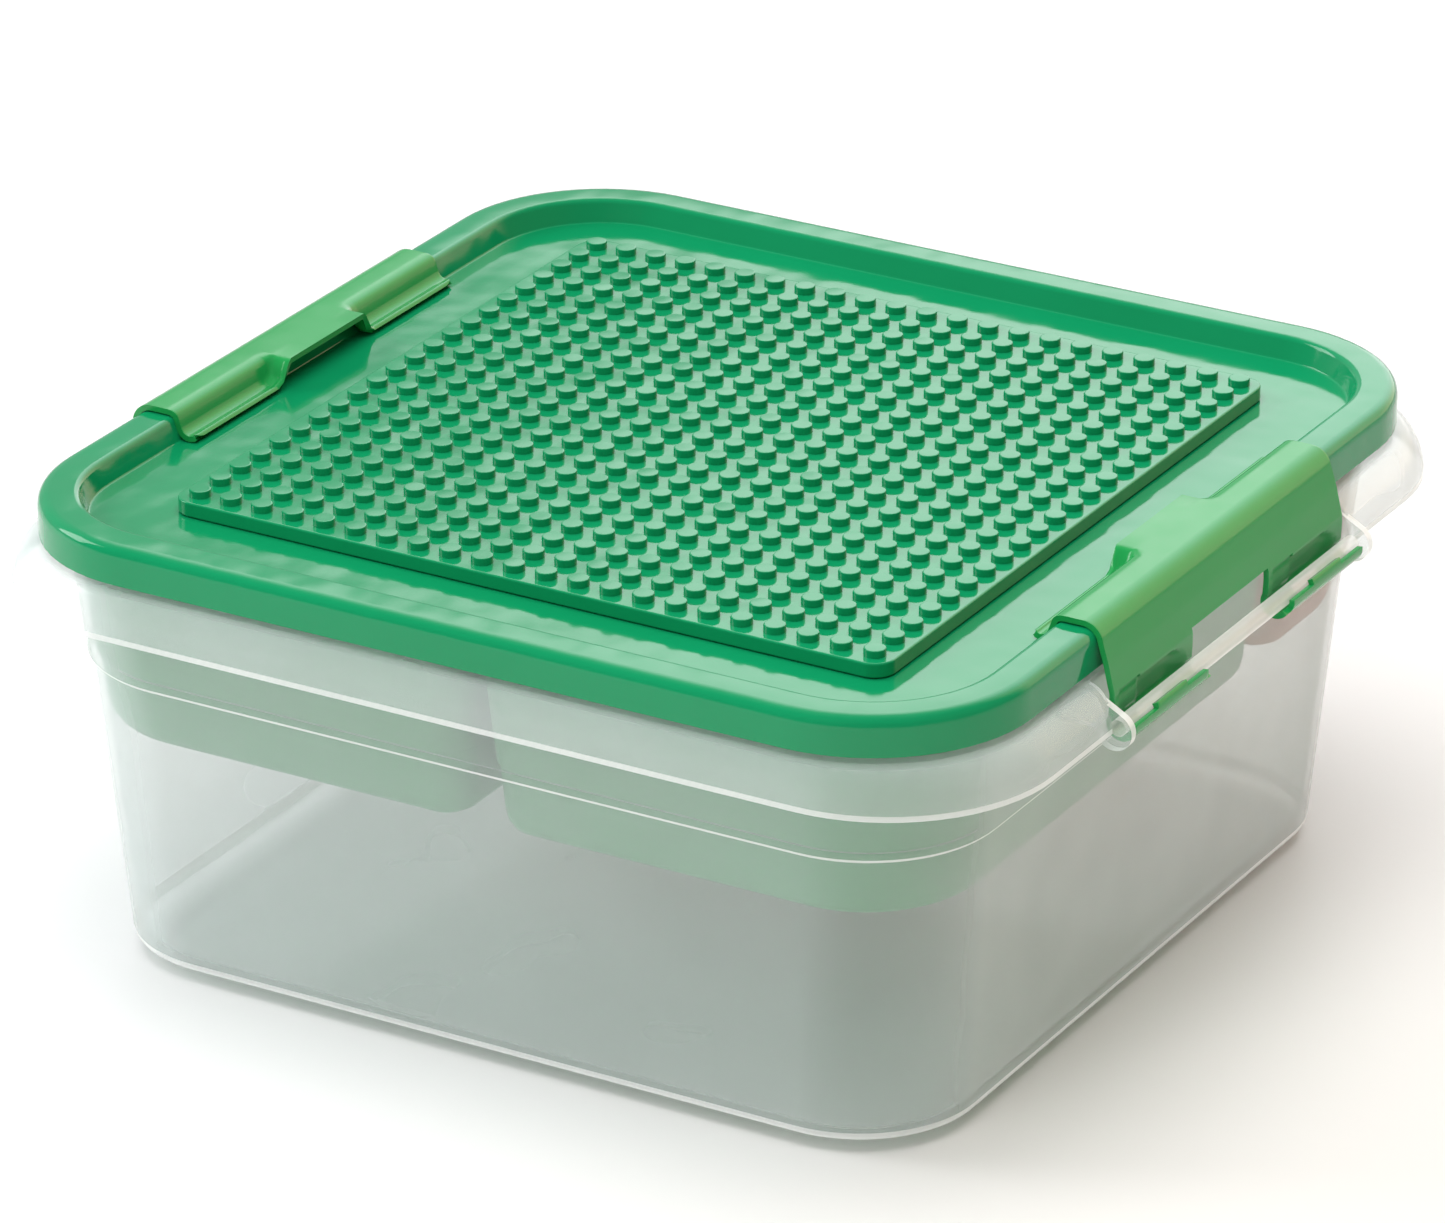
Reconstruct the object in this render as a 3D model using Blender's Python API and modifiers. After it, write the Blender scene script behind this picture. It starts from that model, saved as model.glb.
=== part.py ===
"""Building block storage box: a clear tub with a studded lid, two snap latches and three lift-out trays.

Frame: metres, +Z up, origin on the table under the middle of the box. The front faces -Y.
The latches are on the -X and +X sides, and each one turns on a rail moulded on the tub.
"""

import math

import bmesh
import bpy
from mathutils import Matrix, Vector

MM = 0.001

# Overall sizes of the closed box
LID_WIDTH = 240.4 * MM
LID_DEPTH = 240.4 * MM
BOX_HEIGHT = 110.3 * MM
LID_CORNER = 38.0 * MM

# Lid: a band outside, a raised hollow rim and a sunk floor
LID_WALL = 1.5 * MM
LID_FLOOR = 2.0 * MM
BAND_HEIGHT = 9.0 * MM
RIM_WIDTH = 9.1 * MM
RIM_ROUND = 2.3 * MM
RIM_EDGE = 0.8 * MM
RECESS_DEPTH = 5.3 * MM
RECESS_LEAN = 1.9 * MM

# Stud plate on the lid floor
STUDS_ACROSS = 22
STUD_PITCH = 8.0 * MM
STUD_RADIUS = 2.45 * MM
STUD_HEIGHT = 1.7 * MM
STUD_SIDES = 5
PLATE_BORDER = 0.9 * MM
PLATE_CORNER = 5.0 * MM
PLATE_WALL = 1.6 * MM
PLATE_EDGE = 0.4 * MM
PLATE_RIB = 1.2 * MM
PLATE_RIBS = 3

# Tub wall, ledge, floor and foot ring
BIN_WALL = 1.5 * MM
BIN_FLOOR = 2.0 * MM
LIP_PLAY = 0.4 * MM
LIP_LEAN = 1.0 * MM
LIP_EDGE = 0.4 * MM
SHADOW_GAP = 1.5 * MM
LEDGE_HEIGHT = 73.1 * MM
LEDGE_STEP = 1.0 * MM
LEDGE_CORNER = 30.5 * MM
UPPER_DRAFT = 2.4 * MM
LOWER_DRAFT = 5.6 * MM
BASE_CORNER = 28.0 * MM
BASE_ROUND = 1.6 * MM
FLOOR_FILLET = 1.6 * MM
FOOT_HEIGHT = 3.0 * MM
FOOT_INSET = 7.0 * MM
FOOT_WIDTH = 2.0 * MM

# Bell-shaped skirt under the band, wider at the sides than at the front
SKIRT_WALL = 1.3 * MM
SKIRT_START = 1.2 * MM
SKIRT_OUT_X = 6.1 * MM
SKIRT_OUT_Y = 3.2 * MM
SKIRT_DROP = 12.1 * MM
SKIRT_CORNER = 39.4 * MM
BELL_SHARES = ((0.0, 0.0), (0.19, 0.03), (0.62, 0.24), (0.93, 0.61), (1.0, 1.0))

# Rail and ears that carry a latch
RAIL_OUT = 6.3 * MM
RAIL_DROP = 20.5 * MM
RAIL_RADIUS = 1.9 * MM
EAR_RADIUS = 4.3 * MM
EAR_WALL = 2.0 * MM
EAR_PLAY = 1.5 * MM
NOTCH_INSET = 0.4 * MM

# Snap latch
LATCH_LENGTH = 108.0 * MM
LATCH_WALL = 1.3 * MM
LATCH_PLAY = 0.4 * MM
HOOK_REACH = 7.0 * MM
HOOK_DROP = 3.8 * MM
HOOK_SHARES = ((0.0, 0.0), (0.25, 0.2), (0.5, 0.54), (0.74, 0.86), (0.9, 0.9), (1.0, 0.74))
PANEL_SHARES = ((0.50, 0.20), (0.86, 0.41), (1.10, 0.59), (1.06, 0.82))
TAB_HALF = 16.0 * MM
TAB_FLARE = 2.0 * MM
CUTOUT_HALF = 18.0 * MM
CUTOUT_DROP = 12.5 * MM
CLIP_WALL = 1.2 * MM
RAIL_PLAY = 0.35 * MM
CLIP_HEEL_ANGLE = 145
CLIP_LIP_ANGLE = 395
LOW_LIP_RISE = 0.5 * MM
FINGER_START = 30.0 * MM
FINGER_END = 43.5 * MM
FINGER_BACK = 0.5 * MM
POCKET_START = 20.0 * MM
POCKET_END = 51.0 * MM
POCKET_SPLIT = 8.4 * MM
POCKET_RIB = 0.8 * MM
POCKET_DROP = 13.5 * MM
POCKET_HEIGHT = 5.0 * MM
POCKET_DEPTH = 0.5 * MM

# Trays
TRAY_WALL = 1.5 * MM
TRAY_FLOOR = 1.6 * MM
TRAY_GAP = 0.4 * MM
TRAY_BELOW_LEDGE = 16.8 * MM
TRAY_HEADROOM = 3.0 * MM
TRAY_SPACE = 2.6 * MM
TRAY_DRAFT = 3.0 * MM
TRAY_CORNER = 8.0 * MM
TRAY_FILLET = 4.5 * MM
TRAY_RIM = 1.2 * MM
TRAY_SIDE_LIP = 0.8 * MM
TRAY_REST_LIP = 3.6 * MM
BACK_ROW_Y = 52.0 * MM

# Fits shared by several pieces
SEAT_GAP = 0.3 * MM
OVERRUN = 10.0 * MM

# Facets
CORNER_STEPS = 5
ROD_SIDES = 12
CLIP_STEPS = 8
FILLET_STEPS = 3
MERGE = 0.001 * MM

# Places worked out from the sizes
BAND_X = LID_WIDTH / 2
BAND_Y = LID_DEPTH / 2
BAND_BOTTOM = BOX_HEIGHT - BAND_HEIGHT
LID_FLOOR_TOP = BOX_HEIGHT - RECESS_DEPTH
LID_FLOOR_UNDER = LID_FLOOR_TOP - LID_FLOOR
CHANNEL_ROOF = BOX_HEIGHT - LID_WALL
LIP_TOP = CHANNEL_ROOF - SEAT_GAP
LIP_INSET = RIM_WIDTH - LID_WALL - LIP_PLAY
FLANGE_TOP = BAND_BOTTOM - SHADOW_GAP
FLANGE_UNDER = FLANGE_TOP - SKIRT_WALL
WALL_INSET = LIP_INSET + LIP_LEAN - BIN_WALL
SKIRT_BOTTOM = BAND_BOTTOM - SKIRT_DROP
LEDGE_TOP = LEDGE_HEIGHT + LEDGE_STEP
BIN_FLOOR_TOP = FOOT_HEIGHT + BIN_FLOOR
RAIL_X = BAND_X + RAIL_OUT
RAIL_Z = BOX_HEIGHT - RAIL_DROP
LATCH_HALF = LATCH_LENGTH / 2
EAR_START = LATCH_HALF + EAR_PLAY
EAR_MIDDLE = EAR_START + EAR_WALL / 2
CLIP_INNER = RAIL_RADIUS + RAIL_PLAY
CLIP_OUTER = CLIP_INNER + CLIP_WALL
PLATE_BOTTOM = LID_FLOOR_TOP + SEAT_GAP
PLATE_TOP = BOX_HEIGHT - STUD_HEIGHT
PLATE_HALF = STUDS_ACROSS * STUD_PITCH / 2 + PLATE_BORDER
TRAY_BOTTOM = LEDGE_TOP - TRAY_BELOW_LEDGE
TRAY_SEAT = LEDGE_TOP + SEAT_GAP
FRONT_TRAY_RIM = LID_FLOOR_UNDER - TRAY_HEADROOM
BACK_TRAY_RIM = FRONT_TRAY_RIM - TRAY_RIM - SEAT_GAP


def new_collection(name):
    """A collection linked to the scene."""
    collection = bpy.data.collections.new(name)
    bpy.context.scene.collection.children.link(collection)
    return collection


def make_material(name, colour, roughness, alpha=1.0):
    """A Principled plastic."""
    material = bpy.data.materials.new(name)
    material.use_nodes = True
    shader = material.node_tree.nodes["Principled BSDF"]
    shader.inputs["Base Color"].default_value = (*colour, 1.0)
    shader.inputs["Roughness"].default_value = roughness
    shader.inputs["Metallic"].default_value = 0.0
    shader.inputs["Alpha"].default_value = alpha
    return material


def rounded(low, high, radii, z):
    """A rounded rectangle at height z. The radii go round from the front right corner."""
    corners = (
        (high[0], low[1], -1, 1, -90),
        (high[0], high[1], -1, -1, 0),
        (low[0], high[1], 1, -1, 90),
        (low[0], low[1], 1, 1, 180),
    )
    points = []
    for (x, y, into_x, into_y, start), radius in zip(corners, radii):
        for step in range(CORNER_STEPS + 1):
            angle = math.radians(start + 90 * step / CORNER_STEPS)
            across = x + radius * (into_x + math.cos(angle))
            along = y + radius * (into_y + math.sin(angle))
            points.append((across, along, z))
    return points


def ring(half_x, half_y, radius, z):
    """A rounded rectangle about the middle of the box."""
    return rounded((-half_x, -half_y), (half_x, half_y), (radius,) * 4, z)


def inset_ring(inset, z):
    """The outline of the lid band, moved inwards."""
    return ring(BAND_X - inset, BAND_Y - inset, LID_CORNER - inset, z)


def loft(name, rings):
    """A closed solid through rings that have the same number of points."""
    mesh = bpy.data.meshes.new(name)
    shape = bmesh.new()
    loops = [[shape.verts.new(point) for point in points] for points in rings]
    for lower, upper in zip(loops, loops[1:]):
        for index in range(len(lower)):
            after = (index + 1) % len(lower)
            shape.faces.new((lower[index], lower[after], upper[after], upper[index]))
    shape.faces.new(loops[0])
    shape.faces.new(loops[-1])
    caps = [face for face in shape.faces if len(face.verts) > 4]
    shape.normal_update()
    bmesh.ops.triangulate(shape, faces=caps, ngon_method="EAR_CLIP")
    bmesh.ops.recalc_face_normals(shape, faces=shape.faces)
    shape.to_mesh(mesh)
    shape.free()
    return bpy.data.objects.new(name, mesh)


def box(low, high, name="cutter"):
    """A box between two corners, as a cube primitive moved and sized."""
    mesh = bpy.data.meshes.new(name)
    shape = bmesh.new()
    size = [abs(b - a) for a, b in zip(low, high)]
    centre = [(a + b) / 2 for a, b in zip(low, high)]
    place = Matrix.Translation(centre) @ Matrix.Diagonal((*size, 1.0))
    bmesh.ops.create_cube(shape, size=1.0, matrix=place)
    shape.to_mesh(mesh)
    shape.free()
    return bpy.data.objects.new(name, mesh)


def join(name, pieces):
    """One mesh that holds several loose solids, for use in one Boolean."""
    shape = bmesh.new()
    for piece in pieces:
        shape.from_mesh(piece.data)
        bpy.data.objects.remove(piece)
    mesh = bpy.data.meshes.new(name)
    shape.to_mesh(mesh)
    shape.free()
    return bpy.data.objects.new(name, mesh)


def boolean(target, tool, operation):
    """A live EXACT Boolean, with its tool kept as a wire guide."""
    cutters.objects.link(tool)
    tool.hide_render = True
    tool.display_type = "WIRE"
    modifier = target.modifiers.new(operation.lower(), "BOOLEAN")
    modifier.operation = operation
    modifier.solver = "EXACT"
    modifier.object = tool


def finish(piece, material, origin=(0, 0, 0)):
    """Puts a piece in the box's collection, with its origin where it turns or slides."""
    piece.data.transform(Matrix.Translation(-Vector(origin)))
    piece.location = origin
    piece.data.materials.append(material)
    box_parts.objects.link(piece)


def arc(centre_x, centre_z, radius, start, end, steps):
    """Points (x, z) of an arc, with its angles in degrees from +X towards +Z."""
    points = []
    for step in range(steps + 1):
        angle = math.radians(start + (end - start) * step / steps)
        points.append((centre_x + radius * math.cos(angle), centre_z + radius * math.sin(angle)))
    return points


def between(start, end, shares):
    """Points at shares of the way across and down from start to end."""
    across = end[0] - start[0]
    down = end[1] - start[1]
    return [(start[0] + across * share[0], start[1] + down * share[1]) for share in shares]


def offset(points, distance):
    """Points moved along their own normal, to the left of the way that they run."""
    moved = []
    for index, (x, z) in enumerate(points):
        before = points[max(index - 1, 0)]
        after = points[min(index + 1, len(points) - 1)]
        run = Vector((after[0] - before[0], after[1] - before[1])).normalized()
        moved.append((x - run.y * distance, z + run.x * distance))
    return moved


# Tub: one moulding with its skirt, ears and rails


def bell_section(out):
    """The skirt's outside at one side of the box, from the flange to the lower edge."""
    return between((-SKIRT_START, FLANGE_TOP), (out, SKIRT_BOTTOM), BELL_SHARES)


def skirt_rings(depth):
    """Rings of the bell, at a depth inside its outer face."""
    across = offset(bell_section(SKIRT_OUT_X), -depth)
    along = offset(bell_section(SKIRT_OUT_Y), -depth)
    rings = []
    for (out_x, z), (out_y, _), share in zip(across, along, BELL_SHARES):
        start_corner = LID_CORNER - SKIRT_START
        corner = start_corner + (SKIRT_CORNER - start_corner) * share[0] - depth
        rings.append(ring(BAND_X + out_x, BAND_Y + out_y, corner, z))
    return rings


def wall_ring(inset, corner, z):
    """A ring of the tub wall, by how far it lies inside the lid band."""
    return ring(BAND_X - inset, BAND_Y - inset, corner, z)


def wall_outside(z):
    """Inset and corner radius of the tub wall's outer face at height z, above the ledge."""
    share = (FLANGE_UNDER - z) / (FLANGE_UNDER - LEDGE_HEIGHT)
    top_corner = LID_CORNER - WALL_INSET
    return WALL_INSET + UPPER_DRAFT * share, top_corner + (LEDGE_CORNER - top_corner) * share


def wall_inside(z, above_ledge):
    """Inset and corner radius of the tub wall's inner face at height z."""
    ledge_inset = WALL_INSET + UPPER_DRAFT + BIN_WALL
    if above_ledge:
        share = (z - LEDGE_TOP) / (FLANGE_TOP - LEDGE_TOP)
        top_corner = LID_CORNER - WALL_INSET - BIN_WALL
        corner = LEDGE_CORNER - BIN_WALL + (top_corner - LEDGE_CORNER + BIN_WALL) * share
        return ledge_inset - UPPER_DRAFT * share, corner
    share = (LEDGE_TOP - z) / (LEDGE_TOP - FOOT_HEIGHT)
    start_corner = LEDGE_CORNER - BIN_WALL - LEDGE_STEP
    corner = start_corner + (BASE_CORNER - BIN_WALL - start_corner) * share
    return ledge_inset + LEDGE_STEP + LOWER_DRAFT * share, corner


def bin_shell():
    """The tub as one loft: foot ring, outer wall, skirt, lip, inner wall and floor."""
    ledge_inset = WALL_INSET + UPPER_DRAFT
    base_inset = ledge_inset + LEDGE_STEP + LOWER_DRAFT
    foot_outer = base_inset + FOOT_INSET
    foot_inner = foot_outer + FOOT_WIDTH
    foot_corner = BASE_CORNER - FOOT_INSET
    step_corner = LEDGE_CORNER - LEDGE_STEP
    bevel = BASE_ROUND * (1 - math.sqrt(0.5))
    rings = [
        wall_ring(foot_inner + LIP_EDGE, foot_corner - FOOT_WIDTH - LIP_EDGE, FOOT_HEIGHT),
        wall_ring(foot_inner, foot_corner - FOOT_WIDTH, 0),
        wall_ring(foot_outer, foot_corner, 0),
        wall_ring(foot_outer - LIP_EDGE, foot_corner + LIP_EDGE, FOOT_HEIGHT),
        wall_ring(base_inset + BASE_ROUND, BASE_CORNER - BASE_ROUND, FOOT_HEIGHT),
        wall_ring(base_inset + bevel, BASE_CORNER - bevel, FOOT_HEIGHT + bevel),
        wall_ring(base_inset, BASE_CORNER, FOOT_HEIGHT + BASE_ROUND),
        wall_ring(ledge_inset + LEDGE_STEP, step_corner, LEDGE_HEIGHT - LEDGE_STEP / 2),
        wall_ring(ledge_inset, LEDGE_CORNER, LEDGE_HEIGHT),
        wall_ring(*wall_outside(FLANGE_UNDER), FLANGE_UNDER),
    ]
    rings += skirt_rings(SKIRT_WALL)
    rings += reversed(skirt_rings(0))
    lip_outer = LIP_INSET - BIN_WALL
    rings += [
        inset_ring(lip_outer + LIP_EDGE, FLANGE_TOP),
        inset_ring(lip_outer, LIP_TOP - LIP_EDGE),
        inset_ring(lip_outer + LIP_EDGE, LIP_TOP),
        inset_ring(LIP_INSET - LIP_EDGE, LIP_TOP),
        inset_ring(LIP_INSET, LIP_TOP - LIP_EDGE),
    ]
    fillet_top = BIN_FLOOR_TOP + FLOOR_FILLET
    fillet_inset, fillet_corner = wall_inside(fillet_top, False)
    fillet_bevel = FLOOR_FILLET * (1 - math.sqrt(0.5))
    for height, above in ((FLANGE_TOP, True), (LEDGE_TOP, True), (LEDGE_TOP, False), (fillet_top, False)):
        rings.append(wall_ring(*wall_inside(height, above), height))
    for inward, height in ((fillet_bevel, BIN_FLOOR_TOP + fillet_bevel), (FLOOR_FILLET, BIN_FLOOR_TOP)):
        rings.append(wall_ring(fillet_inset + inward, fillet_corner - inward, height))
    return loft("bin", rings)


def ear_outline():
    """The clear plate that closes the skirt beside a latch and holds the rail's end."""
    root_low = wall_outside(SKIRT_BOTTOM)[0] + BIN_WALL / 2
    root_high = wall_outside(FLANGE_UNDER)[0] + BIN_WALL / 2
    bell = offset(bell_section(SKIRT_OUT_X), -SKIRT_WALL / 2)
    underside = SKIRT_BOTTOM + SKIRT_WALL / 2
    points = [(BAND_X - root_high, bell[0][1])]
    points += [(BAND_X + x, z) for x, z in bell[:3]]
    points += arc(RAIL_X, RAIL_Z, EAR_RADIUS, 70, -130, 8)
    points += [(RAIL_X - EAR_RADIUS, underside), (BAND_X - root_low, underside)]
    return points


def plate_from_outline(name, points, side, low_y, high_y):
    """An (x, z) outline as a filled curve with thickness, made a closed mesh at its place."""
    curve = bpy.data.curves.new(name, "CURVE")
    curve.dimensions = "2D"
    curve.fill_mode = "BOTH"
    curve.extrude = (high_y - low_y) / 2
    spline = curve.splines.new("POLY")
    spline.points.add(len(points) - 1)
    for target, (x, z) in zip(spline.points, points):
        target.co = (side * x, z, 0, 1)
    spline.use_cyclic_u = True
    holder = bpy.data.objects.new(name, curve)
    bpy.context.scene.collection.objects.link(holder)
    bpy.context.view_layer.update()
    evaluated = holder.evaluated_get(bpy.context.evaluated_depsgraph_get())
    mesh = bpy.data.meshes.new_from_object(evaluated)
    bpy.data.objects.remove(holder)
    shape = bmesh.new()
    shape.from_mesh(mesh)
    bmesh.ops.remove_doubles(shape, verts=shape.verts, dist=MERGE)
    upright = Matrix.Rotation(math.radians(90), 4, "X")
    upright.translation = (0, (low_y + high_y) / 2, 0)
    shape.transform(upright)
    bmesh.ops.recalc_face_normals(shape, faces=shape.faces)
    shape.to_mesh(mesh)
    shape.free()
    return bpy.data.objects.new(name, mesh)


def rail(side):
    """The rod between two ears that a latch clips on."""
    mesh = bpy.data.meshes.new("rail")
    shape = bmesh.new()
    place = Matrix.Translation((side * RAIL_X, 0, RAIL_Z)) @ Matrix.Rotation(math.radians(90), 4, "X")
    bmesh.ops.create_cone(
        shape,
        cap_ends=True,
        segments=ROD_SIDES,
        radius1=RAIL_RADIUS,
        radius2=RAIL_RADIUS,
        depth=2 * EAR_MIDDLE,
        matrix=place,
    )
    shape.to_mesh(mesh)
    shape.free()
    return bpy.data.objects.new("rail", mesh)


def make_bin():
    """The tub, its skirt opened beside each latch, with ears and rails joined on."""
    tub = bin_shell()
    notches = []
    ears = []
    rails = []
    for side in (-1, 1):
        near = side * (BAND_X - NOTCH_INSET)
        far = side * (RAIL_X + OVERRUN)
        low = (min(near, far), -EAR_MIDDLE, SKIRT_BOTTOM - OVERRUN)
        notches.append(box(low, (max(near, far), EAR_MIDDLE, FLANGE_TOP + SKIRT_WALL)))
        rails.append(rail(side))
        ears.append(plate_from_outline("ear", ear_outline(), side, EAR_START, EAR_START + EAR_WALL))
        ears.append(plate_from_outline("ear", ear_outline(), side, -EAR_START - EAR_WALL, -EAR_START))
    boolean(tub, join("skirt_notches", notches), "DIFFERENCE")
    boolean(tub, join("ears", ears), "UNION")
    boolean(tub, join("rails", rails), "UNION")
    finish(tub, clear_plastic)


# Lid and stud plate


def make_lid():
    """The lid as one loft: floor, recess wall, rim, band, hollow channel and underside."""
    recess_inset = RIM_WIDTH + RECESS_LEAN
    crown = RIM_ROUND * (1 - math.sqrt(0.5))
    edge = RIM_EDGE * (1 - math.sqrt(0.5))
    rings = [
        inset_ring(recess_inset + RIM_EDGE, LID_FLOOR_TOP),
        inset_ring(recess_inset, LID_FLOOR_TOP + RIM_EDGE),
        inset_ring(RIM_WIDTH, BOX_HEIGHT - RIM_EDGE),
        inset_ring(RIM_WIDTH - edge, BOX_HEIGHT - edge),
        inset_ring(RIM_WIDTH - RIM_EDGE, BOX_HEIGHT),
        inset_ring(RIM_ROUND, BOX_HEIGHT),
        inset_ring(crown, BOX_HEIGHT - crown),
        inset_ring(0, BOX_HEIGHT - RIM_ROUND),
        inset_ring(0, BAND_BOTTOM),
        inset_ring(LID_WALL, BAND_BOTTOM),
        inset_ring(LID_WALL, CHANNEL_ROOF - RIM_EDGE),
        inset_ring(LID_WALL + RIM_EDGE, CHANNEL_ROOF),
        inset_ring(RIM_WIDTH - LID_WALL, CHANNEL_ROOF),
        inset_ring(recess_inset - LID_WALL, LID_FLOOR_UNDER + RIM_EDGE),
        inset_ring(recess_inset - LID_WALL + RIM_EDGE, LID_FLOOR_UNDER),
    ]
    finish(loft("lid", rings), lid_plastic, (0, 0, BAND_BOTTOM))


def plate_ring(half, z):
    """A ring of the stud plate."""
    return ring(half, half, PLATE_CORNER - (PLATE_HALF - half), z)


def make_stud_plate():
    """A ribbed plate, open underneath, with a square grid of studs."""
    skin = PLATE_TOP - PLATE_WALL
    hollow = PLATE_HALF - PLATE_WALL
    rings = [
        plate_ring(hollow, skin),
        plate_ring(hollow, PLATE_BOTTOM),
        plate_ring(PLATE_HALF, PLATE_BOTTOM),
        plate_ring(PLATE_HALF, PLATE_TOP - PLATE_EDGE),
        plate_ring(PLATE_HALF - PLATE_EDGE, PLATE_TOP),
    ]
    plate = loft("stud_plate", rings)
    reach = PLATE_HALF - PLATE_WALL / 2
    embed = skin + PLATE_WALL / 2
    across_ribs = []
    along_ribs = []
    for number in range(1, PLATE_RIBS + 1):
        middle = PLATE_HALF * (2 * number / (PLATE_RIBS + 1) - 1)
        low = middle - PLATE_RIB / 2
        high = middle + PLATE_RIB / 2
        foot = PLATE_BOTTOM + SEAT_GAP
        across_ribs.append(box((-reach, low, foot), (reach, high, embed)))
        along_ribs.append(box((low, -reach, foot + SEAT_GAP), (high, reach, embed - SEAT_GAP)))
    boolean(plate, join("across_ribs", across_ribs), "UNION")
    boolean(plate, join("along_ribs", along_ribs), "UNION")
    mesh = bpy.data.meshes.new("studs")
    shape = bmesh.new()
    first = -(STUDS_ACROSS - 1) * STUD_PITCH / 2
    sunk = PLATE_WALL / 4
    bmesh.ops.create_cone(
        shape,
        cap_ends=True,
        segments=STUD_SIDES,
        radius1=STUD_RADIUS,
        radius2=STUD_RADIUS,
        depth=STUD_HEIGHT + sunk,
        matrix=Matrix.Translation((first, first, PLATE_TOP + (STUD_HEIGHT - sunk) / 2)),
    )
    shape.to_mesh(mesh)
    shape.free()
    studs = bpy.data.objects.new("studs", mesh)
    for direction in ((STUD_PITCH, 0, 0), (0, STUD_PITCH, 0)):
        row = studs.modifiers.new("row", "ARRAY")
        row.count = STUDS_ACROSS
        row.use_relative_offset = False
        row.use_constant_offset = True
        row.constant_offset_displace = direction
    boolean(plate, studs, "UNION")
    finish(plate, lid_plastic, (0, 0, PLATE_BOTTOM))


# Latches


def latch_section(y, hook_share):
    """The latch's cross-section: hook or flat tab, top, outer panel and rail clip."""
    under = BOX_HEIGHT + LATCH_PLAY
    rim_edge = BAND_X - RIM_WIDTH
    hook_low = []
    for reach_share, drop_share in HOOK_SHARES:
        drop = HOOK_DROP * drop_share * hook_share
        hook_low.append((rim_edge - HOOK_REACH * reach_share, under - drop))
    hook_high = offset(hook_low, -LATCH_WALL)
    bend = (BAND_X - RIM_ROUND, BOX_HEIGHT - RIM_ROUND)
    bend_inner = arc(*bend, RIM_ROUND + LATCH_PLAY, 90, 0, 2)
    bend_outer = arc(*bend, RIM_ROUND + LATCH_PLAY + LATCH_WALL, 90, 0, 2)
    bore = arc(RAIL_X, RAIL_Z, CLIP_INNER, CLIP_HEEL_ANGLE, CLIP_LIP_ANGLE, CLIP_STEPS)
    back = arc(RAIL_X, RAIL_Z, CLIP_OUTER, CLIP_LIP_ANGLE, CLIP_HEEL_ANGLE, CLIP_STEPS)
    panel = between(bend_outer[-1], bore[0], PANEL_SHARES)
    outline = hook_high[::-1]
    outline += bend_outer + panel
    outline += bore + back
    outline += offset(panel, -LATCH_WALL)[::-1]
    outline += bend_inner[::-1]
    outline += hook_low
    return [(x, y, z) for x, z in outline]


def latch_cutters():
    """The openings of the right latch, as groups whose boxes don't touch each other."""
    below = RAIL_Z - OVERRUN
    inside = RAIL_X - OVERRUN
    outside = RAIL_X + OVERRUN
    heel_z = RAIL_Z + CLIP_OUTER * math.sin(math.radians(CLIP_HEEL_ANGLE))
    low_lip_z = RAIL_Z + LOW_LIP_RISE
    floor_x = RAIL_X + CLIP_INNER * math.cos(math.radians(CLIP_HEEL_ANGLE)) - POCKET_DEPTH
    pocket_top = BOX_HEIGHT - POCKET_DROP
    openings = [box((inside, -CUTOUT_HALF, below), (outside, CUTOUT_HALF, BOX_HEIGHT - CUTOUT_DROP))]
    low_lips = []
    pockets = []
    for end in (-1, 1):
        near, far = sorted((end * FINGER_START, end * FINGER_END))
        openings.append(box((inside, near, below), (RAIL_X - FINGER_BACK, far, heel_z)))
        for start, stop in ((CUTOUT_HALF - OVERRUN, FINGER_START), (FINGER_END, LATCH_HALF + OVERRUN)):
            near, far = sorted((end * start, end * stop))
            low_lips.append(box((RAIL_X, near, low_lip_z), (outside, far, RAIL_Z + CLIP_OUTER)))
        near, far = sorted((end * POCKET_START, end * POCKET_END))
        split = near + POCKET_SPLIT
        for start, stop in ((near, split - POCKET_RIB), (split, far)):
            pockets.append(box((floor_x, start, pocket_top - POCKET_HEIGHT), (outside, stop, pocket_top)))
    return [join("openings", openings), join("low_lips", low_lips), join("pockets", pockets)]


def mirror_mesh(piece):
    """Turns a right-hand mesh into a left-hand one."""
    shape = bmesh.new()
    shape.from_mesh(piece.data)
    shape.transform(Matrix.Diagonal((-1, 1, 1, 1)))
    bmesh.ops.reverse_faces(shape, faces=shape.faces)
    shape.to_mesh(piece.data)
    shape.free()


def make_latch(name, side):
    """A latch lofted along its length, with hooked ends and a flat tab in the middle."""
    flare = TAB_HALF + TAB_FLARE
    stations = ((-LATCH_HALF, 1), (-flare, 1), (-TAB_HALF, 0), (TAB_HALF, 0), (flare, 1), (LATCH_HALF, 1))
    latch = loft(name, [latch_section(y, share) for y, share in stations])
    if side < 0:
        mirror_mesh(latch)
    for cuts in latch_cutters():
        if side < 0:
            mirror_mesh(cuts)
        boolean(latch, cuts, "DIFFERENCE")
    finish(latch, latch_plastic, (side * RAIL_X, 0, RAIL_Z))


# Trays


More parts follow.
